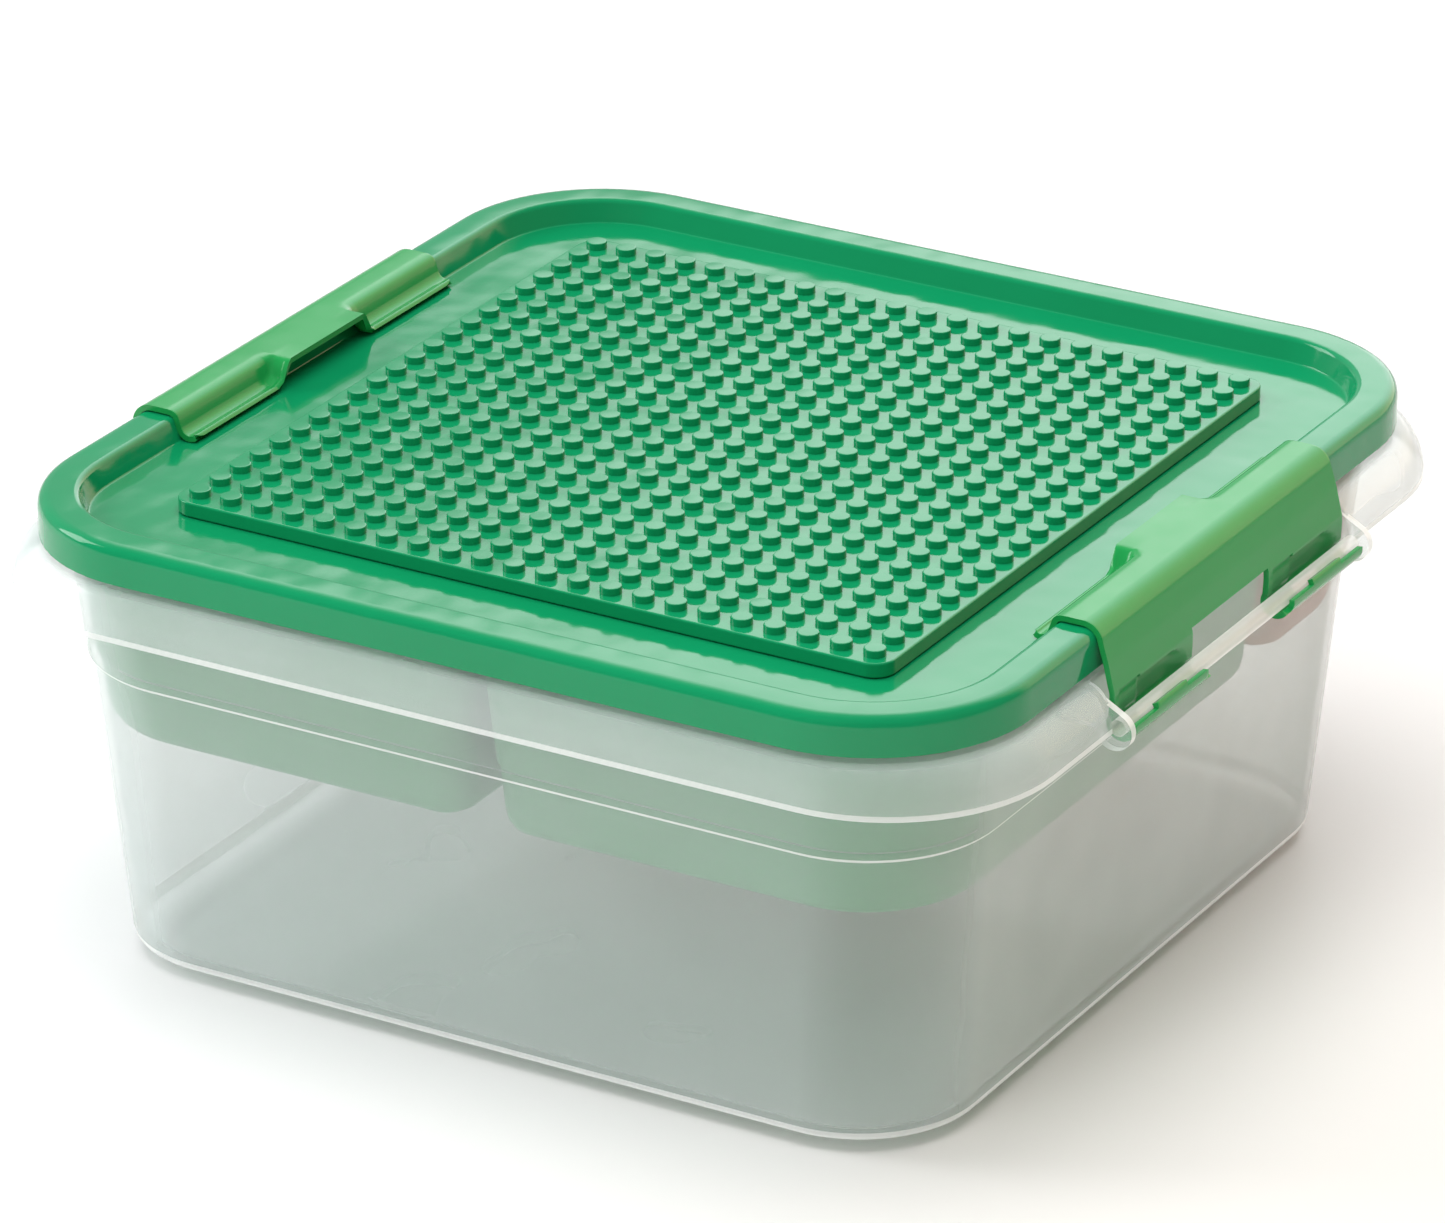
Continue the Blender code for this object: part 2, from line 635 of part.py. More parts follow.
def tray_ring(spans, rim, z, inset=0.0, above_ledge=True, lips=(0.0, 0.0)):
    """A ring of a tray. A span's end is None where the tray follows the tub wall."""
    wall_inset, wall_corner = wall_inside(z, above_ledge)
    draft = TRAY_DRAFT * (rim - z) / (rim - TRAY_BOTTOM)
    limits = []
    for (low, high), band, lip in zip(spans, (BAND_X, BAND_Y), lips):
        wall = band - wall_inset - TRAY_GAP
        low_end = -wall if low is None else low + TRAY_SPACE / 2 + draft - lip
        high_end = wall if high is None else high - TRAY_SPACE / 2 - draft + lip
        limits.append((low_end + inset, high_end - inset))
    radii = []
    for x_end, y_end in ((1, 0), (1, 1), (0, 1), (0, 0)):
        in_corner = spans[0][x_end] is None and spans[1][y_end] is None
        radius = wall_corner - TRAY_GAP if in_corner else TRAY_CORNER
        radii.append(radius - inset)
    low = (limits[0][0], limits[1][0])
    high = (limits[0][1], limits[1][1])
    return rounded(low, high, radii, z)


def tray_fillet(spans, rim, floor, radius, wall):
    """Rings of a rounded bottom edge, from the floor up to the wall, at a depth inside the outer wall."""
    rings = []
    for step in range(FILLET_STEPS + 1):
        angle = math.radians(90 * step / FILLET_STEPS)
        inset = wall + radius * (1 - math.sin(angle))
        rings.append(tray_ring(spans, rim, floor + radius * (1 - math.cos(angle)), inset, False))
    return rings


def make_tray(name, spans, rim, lips, material):
    """A tray lofted up its outside, over its rim and down its inside."""
    wall_top = rim - TRAY_RIM
    inner_step = TRAY_SEAT + TRAY_WALL
    rings = tray_fillet(spans, rim, TRAY_BOTTOM, TRAY_FILLET, 0)
    rings += [
        tray_ring(spans, rim, TRAY_SEAT, 0, False),
        tray_ring(spans, rim, TRAY_SEAT),
        tray_ring(spans, rim, wall_top),
        tray_ring(spans, rim, wall_top, 0, True, lips),
        tray_ring(spans, rim, rim, 0, True, lips),
        tray_ring(spans, rim, rim, TRAY_WALL),
        tray_ring(spans, rim, inner_step, TRAY_WALL),
        tray_ring(spans, rim, inner_step - LEDGE_STEP / 2, TRAY_WALL, False),
    ]
    inner_fillet = TRAY_FILLET - TRAY_WALL
    rings += tray_fillet(spans, rim, TRAY_BOTTOM + TRAY_FLOOR, inner_fillet, TRAY_WALL)[::-1]
    tray = loft(name, rings)
    middle = [sum(point[axis] for point in rings[0]) / len(rings[0]) for axis in range(2)]
    finish(tray, material, (*middle, TRAY_BOTTOM))


for old in list(bpy.data.objects):
    bpy.data.objects.remove(old)

box_parts = new_collection("building_block_storage_box")
cutters = new_collection("cutters")
clear_plastic = make_material("clear_polypropylene", (0.80, 0.85, 0.84), 0.18, 0.3)
lid_plastic = make_material("green_lid_plastic", (0.013, 0.323, 0.107), 0.28)
latch_plastic = make_material("green_latch_plastic", (0.062, 0.359, 0.095), 0.3)
green_tray_plastic = make_material("milky_green_tray_plastic", (0.27, 0.56, 0.38), 0.4)
back_tray_plastic = make_material("milky_salmon_tray_plastic", (0.60, 0.30, 0.22), 0.4)

make_bin()
make_lid()
make_stud_plate()
make_latch("latch_left", -1)
make_latch("latch_right", 1)
front_lips = (TRAY_SIDE_LIP, TRAY_REST_LIP)
make_tray("tray_front_left", ((None, 0), (None, BACK_ROW_Y)), FRONT_TRAY_RIM, front_lips, green_tray_plastic)
make_tray("tray_front_right", ((0, None), (None, BACK_ROW_Y)), FRONT_TRAY_RIM, front_lips, green_tray_plastic)
make_tray("tray_back", ((None, None), (BACK_ROW_Y, None)), BACK_TRAY_RIM, (0.0, 0.0), back_tray_plastic)
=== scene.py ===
# %% [markdown]
# Building block storage box
#
# A clear square tub with a bell-shaped skirt, closed by a green lid that carries a studded building plate.
# Two green snap latches turn on rails moulded on the tub's sides, and three milky trays hang inside. The
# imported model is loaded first. It stays where it is, and every piece below is made around it.

# %% Load the frame
import math

import bmesh
import bpy
import numpy as np
from mathutils import Matrix, Vector


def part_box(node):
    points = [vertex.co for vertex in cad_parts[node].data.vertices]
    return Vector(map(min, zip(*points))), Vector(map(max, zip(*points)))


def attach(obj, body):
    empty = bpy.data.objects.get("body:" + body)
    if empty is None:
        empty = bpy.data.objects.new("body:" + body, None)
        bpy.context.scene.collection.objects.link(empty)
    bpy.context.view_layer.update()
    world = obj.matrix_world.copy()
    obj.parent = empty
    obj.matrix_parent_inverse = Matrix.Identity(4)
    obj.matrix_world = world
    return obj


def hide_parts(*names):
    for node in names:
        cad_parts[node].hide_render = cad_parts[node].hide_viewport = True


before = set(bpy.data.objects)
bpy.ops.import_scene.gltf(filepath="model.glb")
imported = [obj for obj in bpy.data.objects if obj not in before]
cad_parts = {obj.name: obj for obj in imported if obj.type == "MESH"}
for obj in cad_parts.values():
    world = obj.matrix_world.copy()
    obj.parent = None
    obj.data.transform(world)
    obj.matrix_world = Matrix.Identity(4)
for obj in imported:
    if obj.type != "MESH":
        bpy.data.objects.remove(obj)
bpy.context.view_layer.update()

# %% [markdown]
# The sizes come from the frame where a node's box gives them, and from named real sizes where it doesn't.
# Blender works in metres here, so a size in millimetres is multiplied by MM.

# %% Sizes of the box
MM = 0.001
lid_low, lid_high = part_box("lid")
_, bin_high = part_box("bin")
plate_low, plate_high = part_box("stud_plate")
_, latch_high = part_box("latch_right")
BAND_X = lid_high.x
BAND_Y = lid_high.y
RIM_TOP = lid_high.z
BAND_BOTTOM = lid_low.z
BAND_CORNER = 38.0 * MM
RIM_WIDTH = 9.1 * MM
LID_WALL = 1.5 * MM
SHADOW_GAP = 1.5 * MM
FLANGE_TOP = BAND_BOTTOM - SHADOW_GAP
print("lid", round(2 * BAND_X / MM, 1), "mm wide, its top", round(RIM_TOP / MM, 1), "mm above the table")

# %% [markdown]
# Colours are written as the sRGB hex values that a picture shows, and a shader wants them linear, so one
# function turns them. Another adds a node: an input takes a plain value or another node's output. The
# others start a material, turn a drawn shape into an object, and put an object in the scene.

# %% Colour, node and object helpers
def linear(hex_colour):
    """A hex colour as the linear values that a shader takes, and full alpha."""
    shown = [int(hex_colour[start:start + 2], 16) / 255 for start in (1, 3, 5)]
    values = [value / 12.92 if value <= 0.04045 else ((value + 0.055) / 1.055) ** 2.4 for value in shown]
    return (*values, 1.0)


def feed(tree, node, inputs):
    """Gives each of these inputs of a node a plain value or another node's output."""
    for name, value in inputs.items():
        if isinstance(value, bpy.types.NodeSocket):
            tree.links.new(value, node.inputs[name])
        else:
            node.inputs[name].default_value = value


def add_node(tree, kind, inputs=None, **settings):
    """Adds a node with its inputs. Settings are its options."""
    node = tree.nodes.new(kind)
    for name, value in settings.items():
        setattr(node, name, value)
    feed(tree, node, inputs or {})
    return node


def new_material(name):
    """A material with an empty tree but for its Principled shader, and the piece's own coordinates."""
    material = bpy.data.materials.new(name)
    material.use_nodes = True
    tree = material.node_tree
    shader = tree.nodes["Principled BSDF"]
    where = add_node(tree, "ShaderNodeTexCoord").outputs["Object"]
    return material, tree, shader, where


def as_object(shape, name):
    """A drawn shape as an object with a mesh of its own."""
    mesh = bpy.data.meshes.new(name)
    shape.to_mesh(mesh)
    shape.free()
    return bpy.data.objects.new(name, mesh)


def link(thing):
    """Puts an object in the scene, once."""
    if thing.name not in bpy.context.scene.collection.objects:
        bpy.context.scene.collection.objects.link(thing)


print("mid grey #808080 is", round(linear("#808080")[0], 3), "in linear light")

# %% [markdown]
# A photograph taken from a little under two metres with a long lens keeps the box's far edges almost
# parallel to its near ones. The camera stands at the same angle: about 30 degrees to the right of the
# front, and looking down at 23 degrees on the middle of the lid.

# %% Camera
CAMERA_AZIMUTH = 30.11
CAMERA_ELEVATION = 22.98
CAMERA_DISTANCE = 1.796
CAMERA_AIM = Vector((-0.01385, 0.02133, 0.0553))
CAMERA_ROLL = -0.17
LENS = 202.43
SENSOR = 36.0

azimuth = math.radians(CAMERA_AZIMUTH)
elevation = math.radians(CAMERA_ELEVATION)
level_reach = math.cos(elevation)
away = Vector((math.sin(azimuth) * level_reach, -math.cos(azimuth) * level_reach, math.sin(elevation)))
camera_data = bpy.data.cameras.new("camera")
camera_data.lens = LENS
camera_data.sensor_width = SENSOR
camera_data.sensor_fit = "HORIZONTAL"
camera = bpy.data.objects.new("camera", camera_data)
link(camera)
camera.location = Vector((0, 0, RIM_TOP)) + away * CAMERA_DISTANCE
look = (CAMERA_AIM - camera.location).to_track_quat("-Z", "Y").to_matrix().to_4x4()
turned = Matrix.Translation(camera.location) @ look @ Matrix.Rotation(math.radians(CAMERA_ROLL), 4, "Z")
camera.matrix_world = turned
bpy.context.scene.camera = camera
print("camera at", [round(value, 3) for value in camera.location])

# %% [markdown]
# The box stands on a plain pale table. The floor is one matt sheet, a little warmer at the right. The grain
# of a painted board is finer than this, and is drawn a millimetre wide so that it shows.

# %% Floor
FLOOR_SIZE = 24.0
GRAIN_SIZE = 10 / 9 * MM
GRAIN_DEPTH = 0.1 * MM
WARM_START = -0.15
WARM_END = 0.6


def pale_floor():
    """Matt painted board: a broad change of warmth from left to right, and a faint roughness."""
    material, tree, shader, where = new_material("painted board, matt")
    sides = add_node(tree, "ShaderNodeSeparateXYZ", {"Vector": where})
    warm = add_node(tree, "ShaderNodeMapRange", {
        "Value": sides.outputs["X"], "From Min": WARM_START, "From Max": WARM_END,
    }, interpolation_type="SMOOTHSTEP")
    colour = add_node(tree, "ShaderNodeMix", {
        "Factor": warm.outputs["Result"], "A": linear("#f7f7f7"), "B": linear("#f3ece2"),
    }, data_type="RGBA")
    grain = add_node(tree, "ShaderNodeTexNoise", {"Vector": where, "Scale": 1 / GRAIN_SIZE, "Detail": 3.0})
    bump = add_node(tree, "ShaderNodeBump", {
        "Height": grain.outputs["Fac"], "Strength": 0.05, "Distance": GRAIN_DEPTH,
    })
    feed(tree, shader, {
        "Base Color": colour.outputs["Result"], "Normal": bump.outputs["Normal"], "Roughness": 0.55,
    })
    return material


floor_shape = bmesh.new()
bmesh.ops.create_grid(floor_shape, x_segments=1, y_segments=1, size=FLOOR_SIZE / 2)
floor = as_object(floor_shape, "floor")
floor.data.materials.append(pale_floor())
link(floor)
print("floor", FLOOR_SIZE, "m across")

# %% [markdown]
# A window at the left makes the highlights, and two broad lamps light the box without being mirrored in it.
# All three are area lights, because a wide lamp gives the soft shadows of a room.

# %% Lamps
AIM = (0, 0, 0.05)


def soft_light(name, place, width, height, power, hex_colour, mirrored):
    """A wide area light that no camera sees directly, and that glossy plastic mirrors or not."""
    data = bpy.data.lights.new(name, "AREA")
    data.shape = "RECTANGLE"
    data.size = width
    data.size_y = height
    data.energy = power
    data.color = linear(hex_colour)[:3]
    lamp = bpy.data.objects.new(name, data)
    lamp.location = place
    lamp.rotation_euler = (Vector(AIM) - Vector(place)).to_track_quat("-Z", "Y").to_euler()
    lamp.visible_camera = False
    lamp.visible_glossy = mirrored
    link(lamp)


soft_light(
    "left_window", (-2.4, -0.83, 1.3), width=1.2, height=1.6,
    power=38.0, hex_colour="#fbfdff", mirrored=True,
)
soft_light(
    "front_fill", (0.2, -2.4, 1.4), width=1.8, height=1.8,
    power=19.0, hex_colour="#ffffff", mirrored=False,
)
soft_light(
    "top_fill", (0.2, -0.3, 2.6), width=2.4, height=2.4,
    power=58.0, hex_colour="#ffffff", mirrored=False,
)
print("three soft lights, aimed at", AIM)

# %% [markdown]
# What the eye takes for gloss is the room mirrored in the lid, so the room has its own light: a bright wall
# behind the box that starts higher up on the left, warm shade at the right, and a dim front. The wall
# counts in full only where it is mirrored, so that it throws no shadow to the front.

# %% Room
ROOM_LOW = 0.62
ROOM_WALL = 2.9
ROOM_FRONT = 0.15
ROOM_RIGHT = 0.22
WALL_SLOPE = 0.73
WALL_SHARE = 0.2
WALL_START = (-0.07, 0.02)
WALL_AHEAD = (0.1, 0.5)
WALL_TOP = (0.9, 0.6)
SHADE_START = (0.2, 0.8)
ROOM_DEPTH = (-0.2, 0.6)


def pale_room():
    """The room by direction: how far right, ahead and up of the camera's own heading a direction points."""
    world = bpy.data.worlds.new("room")
    world.use_nodes = True
    tree = world.node_tree
    heading = add_node(tree, "ShaderNodeTexCoord").outputs["Generated"]
    turned = add_node(tree, "ShaderNodeVectorRotate", {
        "Vector": heading, "Angle": -azimuth,
    }, rotation_type="Z_AXIS")
    parts = add_node(tree, "ShaderNodeSeparateXYZ", {"Vector": turned.outputs["Vector"]})
    right, ahead, up = parts.outputs["X"], parts.outputs["Y"], parts.outputs["Z"]
    raised = add_node(tree, "ShaderNodeMath", {
        0: up, 1: WALL_SLOPE, 2: -WALL_SLOPE * math.sin(elevation),
    }, operation="MULTIPLY_ADD")
    side = add_node(tree, "ShaderNodeMath", {0: right, 1: raised.outputs["Value"]}, operation="ADD")
    fades = []
    for value, (low, high) in (
        (side.outputs["Value"], WALL_START), (ahead, WALL_AHEAD), (up, WALL_TOP), (right, SHADE_START),
        (ahead, ROOM_DEPTH),
    ):
        fades.append(add_node(tree, "ShaderNodeMapRange", {
            "Value": value, "From Min": low, "From Max": high,
        }, interpolation_type="SMOOTHSTEP").outputs["Result"])
    starts, behind, below, warm, depth = fades
    there = add_node(tree, "ShaderNodeMath", {0: starts, 1: behind}, operation="MULTIPLY")
    wall = add_node(tree, "ShaderNodeMath", {0: there.outputs["Value"], 1: below}, operation="MULTIPLY")
    mirrored = add_node(tree, "ShaderNodeLightPath").outputs["Is Glossy Ray"]
    share = add_node(tree, "ShaderNodeMapRange", {
        "Value": mirrored, "To Min": WALL_SHARE * (ROOM_WALL - ROOM_LOW), "To Max": ROOM_WALL - ROOM_LOW,
    })
    far = add_node(tree, "ShaderNodeMix", {0: depth, 2: ROOM_FRONT, 3: ROOM_LOW})
    around = add_node(tree, "ShaderNodeMix", {0: warm, 2: far.outputs[0], 3: ROOM_RIGHT})
    strength = add_node(tree, "ShaderNodeMath", {
        0: wall.outputs["Value"], 1: share.outputs["Result"], 2: around.outputs[0],
    }, operation="MULTIPLY_ADD")
    colour = add_node(tree, "ShaderNodeMix", {
        "Factor": warm, "A": linear("#fdfdff"), "B": linear("#ffe4be"),
    }, data_type="RGBA")
    feed(tree, tree.nodes["Background"], {
        "Color": colour.outputs["Result"], "Strength": strength.outputs["Value"],
    })
    return world


bpy.context.scene.world = pale_room()
bpy.context.scene.view_settings.view_transform = "Standard"
bpy.context.scene.cycles.transparent_max_bounces = 32
print("room: wall", ROOM_WALL, "front", ROOM_FRONT, "right", ROOM_RIGHT)

# %% [markdown]
# The tub is moulded in clear polypropylene. It isn't as clear as glass: a thin wall lets most light
# through and adds a faint white haze, more at a grazing angle. Refraction is left out, because thin even
# walls hardly bend the view, so one shader's alpha gives the look. Edges and the solid rail are painted
# whiter and given a painted glow, which stands in for the light that travels inside the plastic. The wall
# has a faint painted glow too.

# %% Clear polypropylene
CLOUD_SIZE = 45 * MM
WAVE_SIZE = 50 * MM
WAVE_DEPTH = 1.0 * MM


def clear_plastic(name, hex_colour, haze, rim_haze, painted_glow, painted_rim_glow):
    """Clear moulded plastic: alpha rises at a grazing angle, and a painted glow stands in for piped light.
    """
    material, tree, shader, where = new_material(name)
    facing = add_node(tree, "ShaderNodeLayerWeight", {"Blend": 0.35})
    flow = add_node(tree, "ShaderNodeTexNoise", {"Vector": where, "Scale": 1 / CLOUD_SIZE, "Detail": 2.0})
    cloud = add_node(tree, "ShaderNodeMapRange", {
        "Value": flow.outputs["Fac"], "From Min": 0.3, "From Max": 0.7, "To Min": 0.92, "To Max": 1.08,
    })
    veil = add_node(tree, "ShaderNodeMapRange", {
        "Value": facing.outputs["Facing"], "To Min": haze, "To Max": rim_haze,
    })
    alpha = add_node(tree, "ShaderNodeMath", {
        0: veil.outputs["Result"], 1: cloud.outputs["Result"],
    }, operation="MULTIPLY", use_clamp=True)
    wave = add_node(tree, "ShaderNodeTexNoise", {"Vector": where, "Scale": 1 / WAVE_SIZE, "Detail": 0.0})
    bump = add_node(tree, "ShaderNodeBump", {
        "Height": wave.outputs["Fac"], "Strength": 0.06, "Distance": WAVE_DEPTH,
    })
    # A painted glow: emission, stronger at a grazing angle, in place of light that the plastic pipes.
    painted_glow_strength = add_node(tree, "ShaderNodeMapRange", {
        "Value": facing.outputs["Facing"], "To Min": painted_glow, "To Max": painted_rim_glow,
    })
    feed(tree, shader, {
        "Base Color": linear(hex_colour), "Roughness": 0.12, "IOR": 1.49,
        "Alpha": alpha.outputs["Value"], "Normal": bump.outputs["Normal"],
        "Emission Color": linear(hex_colour), "Emission Strength": painted_glow_strength.outputs["Result"],
    })
    return material


# The wall has a faint painted glow.
clear_wall = clear_plastic(
    "polypropylene, clear moulded", hex_colour="#e2ebe9",
    haze=0.12, rim_haze=0.65, painted_glow=0.02, painted_rim_glow=0.02,
)
# The rod is whiter than the wall, with a painted glow along its rims for the bright lines a solid rod shows.
clear_rod_painted_glow = clear_plastic(
    "polypropylene, clear solid rod, painted rim glow", hex_colour="#e4e3dd",
    haze=0.16, rim_haze=0.95, painted_glow=0.0, painted_rim_glow=0.35,
)
# The edge is a whiter copy of the wall with a painted glow: a painted highlight along every edge.
clear_edge_painted_glow = clear_plastic(
    "polypropylene, clear edge, painted whiter with a glow", hex_colour="#f4f6f4",
    haze=0.55, rim_haze=0.95, painted_glow=0.05, painted_rim_glow=0.15,
)
print("made", clear_wall.name, "|", clear_rod_painted_glow.name, "|", clear_edge_painted_glow.name)

# %% [markdown]
# The lid is moulded in opaque green plastic with a polished mould, so it mirrors the room in slow waves.
# The colour is even, and what the eye reads as life is in the gloss: long ripples where the plastic shrank
# as it cooled, and a haze of fine scratches from use.

# %% Green plastics
BROAD_SIZE = 60 * MM
RIPPLE_SIZE = 14 * MM
RIPPLE_DEPTH = 0.6 * MM
SKIN_SIZE = 0.8 * MM
SKIN_DEPTH = 0.1 * MM
WEAR_SIZE = 6 * MM


def green_plastic(name, hex_colour, deep_colour, roughness, ripple):
    """Glossy moulded plastic: slow shrink ripples, a fine skin and a change of gloss from handling."""
    material, tree, shader, where = new_material(name)
    broad = add_node(tree, "ShaderNodeTexNoise", {"Vector": where, "Scale": 1 / BROAD_SIZE, "Detail": 2.0})
    colour = add_node(tree, "ShaderNodeMix", {
        "Factor": broad.outputs["Fac"], "A": linear(hex_colour), "B": linear(deep_colour),
    }, data_type="RGBA")
    waves = add_node(tree, "ShaderNodeTexNoise", {"Vector": where, "Scale": 1 / RIPPLE_SIZE, "Detail": 1.0})
    skin = add_node(tree, "ShaderNodeTexNoise", {"Vector": where, "Scale": 1 / SKIN_SIZE, "Detail": 2.0})
    slow = add_node(tree, "ShaderNodeBump", {
        "Height": waves.outputs["Fac"], "Strength": ripple, "Distance": RIPPLE_DEPTH,
    })
    fine = add_node(tree, "ShaderNodeBump", {
        "Height": skin.outputs["Fac"], "Strength": 0.04, "Distance": SKIN_DEPTH,
        "Normal": slow.outputs["Normal"],
    })
    worn = add_node(tree, "ShaderNodeTexNoise", {"Vector": where, "Scale": 1 / WEAR_SIZE, "Detail": 5.0})
    gloss = add_node(tree, "ShaderNodeMapRange", {
        "Value": worn.outputs["Fac"], "From Min": 0.3, "From Max": 0.7,
        "To Min": roughness * 0.8, "To Max": roughness * 1.25,
    })
    feed(tree, shader, {
        "Base Color": colour.outputs["Result"], "Roughness": gloss.outputs["Result"],
        "Normal": fine.outputs["Normal"], "IOR": 1.42,
    })
    return material


lid_green = green_plastic("ABS, green polished moulding", "#109661", "#0c8c57", roughness=0.09, ripple=0.5)
latch_green = green_plastic("polypropylene, green moulded", "#229e50", "#1c954a", roughness=0.18, ripple=0.1)
print("made", lid_green.name, "|", latch_green.name)

# %% [markdown]
# The trays are milky polypropylene with a satin skin. Light goes some way in and comes out again, so their
# edges never look hard.

# %% Milky plastic
MILK_SIZE = 25 * MM
SATIN_SIZE = 18 * MM
SATIN_DEPTH = 0.3 * MM


def milky_plastic(name, hex_colour, pale_colour):
    """Milky translucent plastic with a satin skin, paler in soft random clouds."""
    material, tree, shader, where = new_material(name)
    clouds = add_node(tree, "ShaderNodeTexNoise", {"Vector": where, "Scale": 1 / MILK_SIZE, "Detail": 3.0})
    colour = add_node(tree, "ShaderNodeMix", {
        "Factor": clouds.outputs["Fac"], "A": linear(hex_colour), "B": linear(pale_colour),
    }, data_type="RGBA")
    skin = add_node(tree, "ShaderNodeTexNoise", {"Vector": where, "Scale": 1 / SATIN_SIZE, "Detail": 1.0})
    bump = add_node(tree, "ShaderNodeBump", {
        "Height": skin.outputs["Fac"], "Strength": 0.2, "Distance": SATIN_DEPTH,
    })
    gloss = add_node(tree, "ShaderNodeMapRange", {
        "Value": clouds.outputs["Fac"], "To Min": 0.34, "To Max": 0.46,
    })
    feed(tree, shader, {
        "Base Color": colour.outputs["Result"], "Roughness": gloss.outputs["Result"],
        "Normal": bump.outputs["Normal"], "Alpha": 0.9, "IOR": 1.49,
    })
    return material


tray_green = milky_plastic("polypropylene, milky green", "#50a06a", "#5cab77")
tray_salmon = milky_plastic("polypropylene, milky salmon", "#c45f3e", "#cd6e4c")
print("made", tray_green.name, "|", tray_salmon.name)

# %% [markdown]
# Almost every wall of the box is a rounded rectangle that changes a little from one height to the next. So
# a level holds the numbers of one such rectangle, and a loft joins a stack of levels with a skin. A corner
# in the section of the wall is rounded by mixing the levels on both sides of it, which is a small Bezier
# curve.

# %% Levels
CORNER_STEPS = 16
ROUND_STEPS = 4


def level(out_x, out_y, corner, z):
    """A rounded rectangle about the box's middle: its low corner, high corner, four radii and height."""
    return np.array([-out_x, -out_y, out_x, out_y, corner, corner, corner, corner, z])


def inset_level(inset, z):
    """The outline of the lid's band, moved inwards."""
    return level(BAND_X - inset, BAND_Y - inset, BAND_CORNER - inset, z)


def rounded_section(corners):
    """Rounds a section. Each corner is its numbers, the length that its rounding takes, and its material."""
    points = []
    slots = []
    for index, (corner, size, slot) in enumerate(corners):
        rounded = size > 0 and 0 < index < len(corners) - 1
        spots = [corner]
        if rounded:
            ends = []
            for other, _, _ in (corners[index - 1], corners[index + 1]):
                step = other - corner
                sideways = np.abs(step[:-1])[:4].max()
                ends.append(corner + step * size / math.hypot(sideways, step[-1]))
            shares = [step / ROUND_STEPS for step in range(ROUND_STEPS + 1)]
            spots = [
                ends[0] * (1 - share) ** 2 + corner * 2 * share * (1 - share) + ends[1] * share ** 2
                for share in shares
            ]
        points += spots
        slots += [slot] * len(spots)
    return points, slots


def ring_points(numbers):
    """The points of a level, going round from its front right corner."""
    low_x, low_y, high_x, high_y, *radii, z = numbers
    turns = (
        (high_x, low_y, -1, 1, -90), (high_x, high_y, -1, -1, 0),
        (low_x, high_y, 1, -1, 90), (low_x, low_y, 1, 1, 180),
    )
    points = []
    for (x, y, into_x, into_y, start), radius in zip(turns, radii):
        for step in range(CORNER_STEPS + 1):
            angle = math.radians(start + 90 * step / CORNER_STEPS)
            across, along = into_x + math.cos(angle), into_y + math.sin(angle)
            points.append((x + radius * across, y + radius * along, z))
    return points


print("a level is drawn with", len(ring_points(inset_level(0, RIM_TOP))), "points")

# %% Lofts
EDGE_REACH = 2.5 * MM


def loft(name, levels, slots):
    """A closed skin over a stack of levels. A narrow band takes the material that both its levels have."""
    shape = bmesh.new()
    rings = [[shape.verts.new(point) for point in ring_points(numbers)] for numbers in levels]
    for number, (lower, upper) in enumerate(zip(rings, rings[1:])):
        narrow = np.abs(levels[number + 1] - levels[number]).max() < EDGE_REACH
        slot = min(slots[number], slots[number + 1]) if narrow else 0
        for index in range(len(lower)):
            after = (index + 1) % len(lower)
            face = shape.faces.new((lower[index], lower[after], upper[after], upper[index]))
            face.material_index = slot
    shape.faces.new(rings[0])
    shape.faces.new(rings[-1])
    bmesh.ops.recalc_face_normals(shape, faces=shape.faces)
    return as_object(shape, name)


print("a band narrower than", round(EDGE_REACH / MM, 1), "mm can take an edge material")

# %% [markdown]
# Moulded plastic has smooth faces that meet in small round edges. Smooth shading draws them so, real corners
# stay sharp, and weighted normals keep a wide flat face flat beside a narrow round one. A finished piece
# then takes its materials, rides on its body and stands for its node.

# %% Finishing a piece
SHARP_ANGLE = math.radians(38)


def shade(piece):
    """Smooth shading that keeps real edges, with flat faces kept flat."""
    piece.data.shade_smooth()
    piece.data.set_sharp_from_angle(angle=SHARP_ANGLE)
    even = piece.modifiers.new("even_normals", "WEIGHTED_NORMAL")
    even.keep_sharp = True


def settle(piece):
    """The piece with its modifiers worked in, as a plain mesh."""
    link(piece)
    bpy.context.view_layer.update()
    mesh = bpy.data.meshes.new_from_object(piece.evaluated_get(bpy.context.evaluated_depsgraph_get()))
    piece.modifiers.clear()
    piece.data = mesh
    return piece


def place(piece, body, node, slot_name, materials):
    """Gives a finished piece its materials and its body, and lets it stand for its node."""
    slots = piece.data.materials
    while len(slots) < len(materials):
        slots.append(None)
    for index, material in enumerate(materials):
        slots[index] = material
    shade(piece)
    link(piece)
    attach(piece, body)
    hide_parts(node)
    print(piece.name, len(piece.data.polygons), "faces")


print("corners of more than", round(math.degrees(SHARP_ANGLE)), "degrees stay sharp")

# %% [markdown]
# The tub is one moulding. Its wall leans in towards the base and steps in by a millimetre at the ledge.
# Under the lid's band it turns out into a bell-shaped skirt, whose section is a quarter of an ellipse. The
# lid's band hides a lip that stands up inside it. The whole section is lofted in one go, from the foot
# ring up the outside, round the skirt and the lip, and down the inside. Bands that are an edge of the
# clear plastic get the edge material, which is painted whiter and given a painted glow, standing in for
# light that travels inside the wall and comes out there.

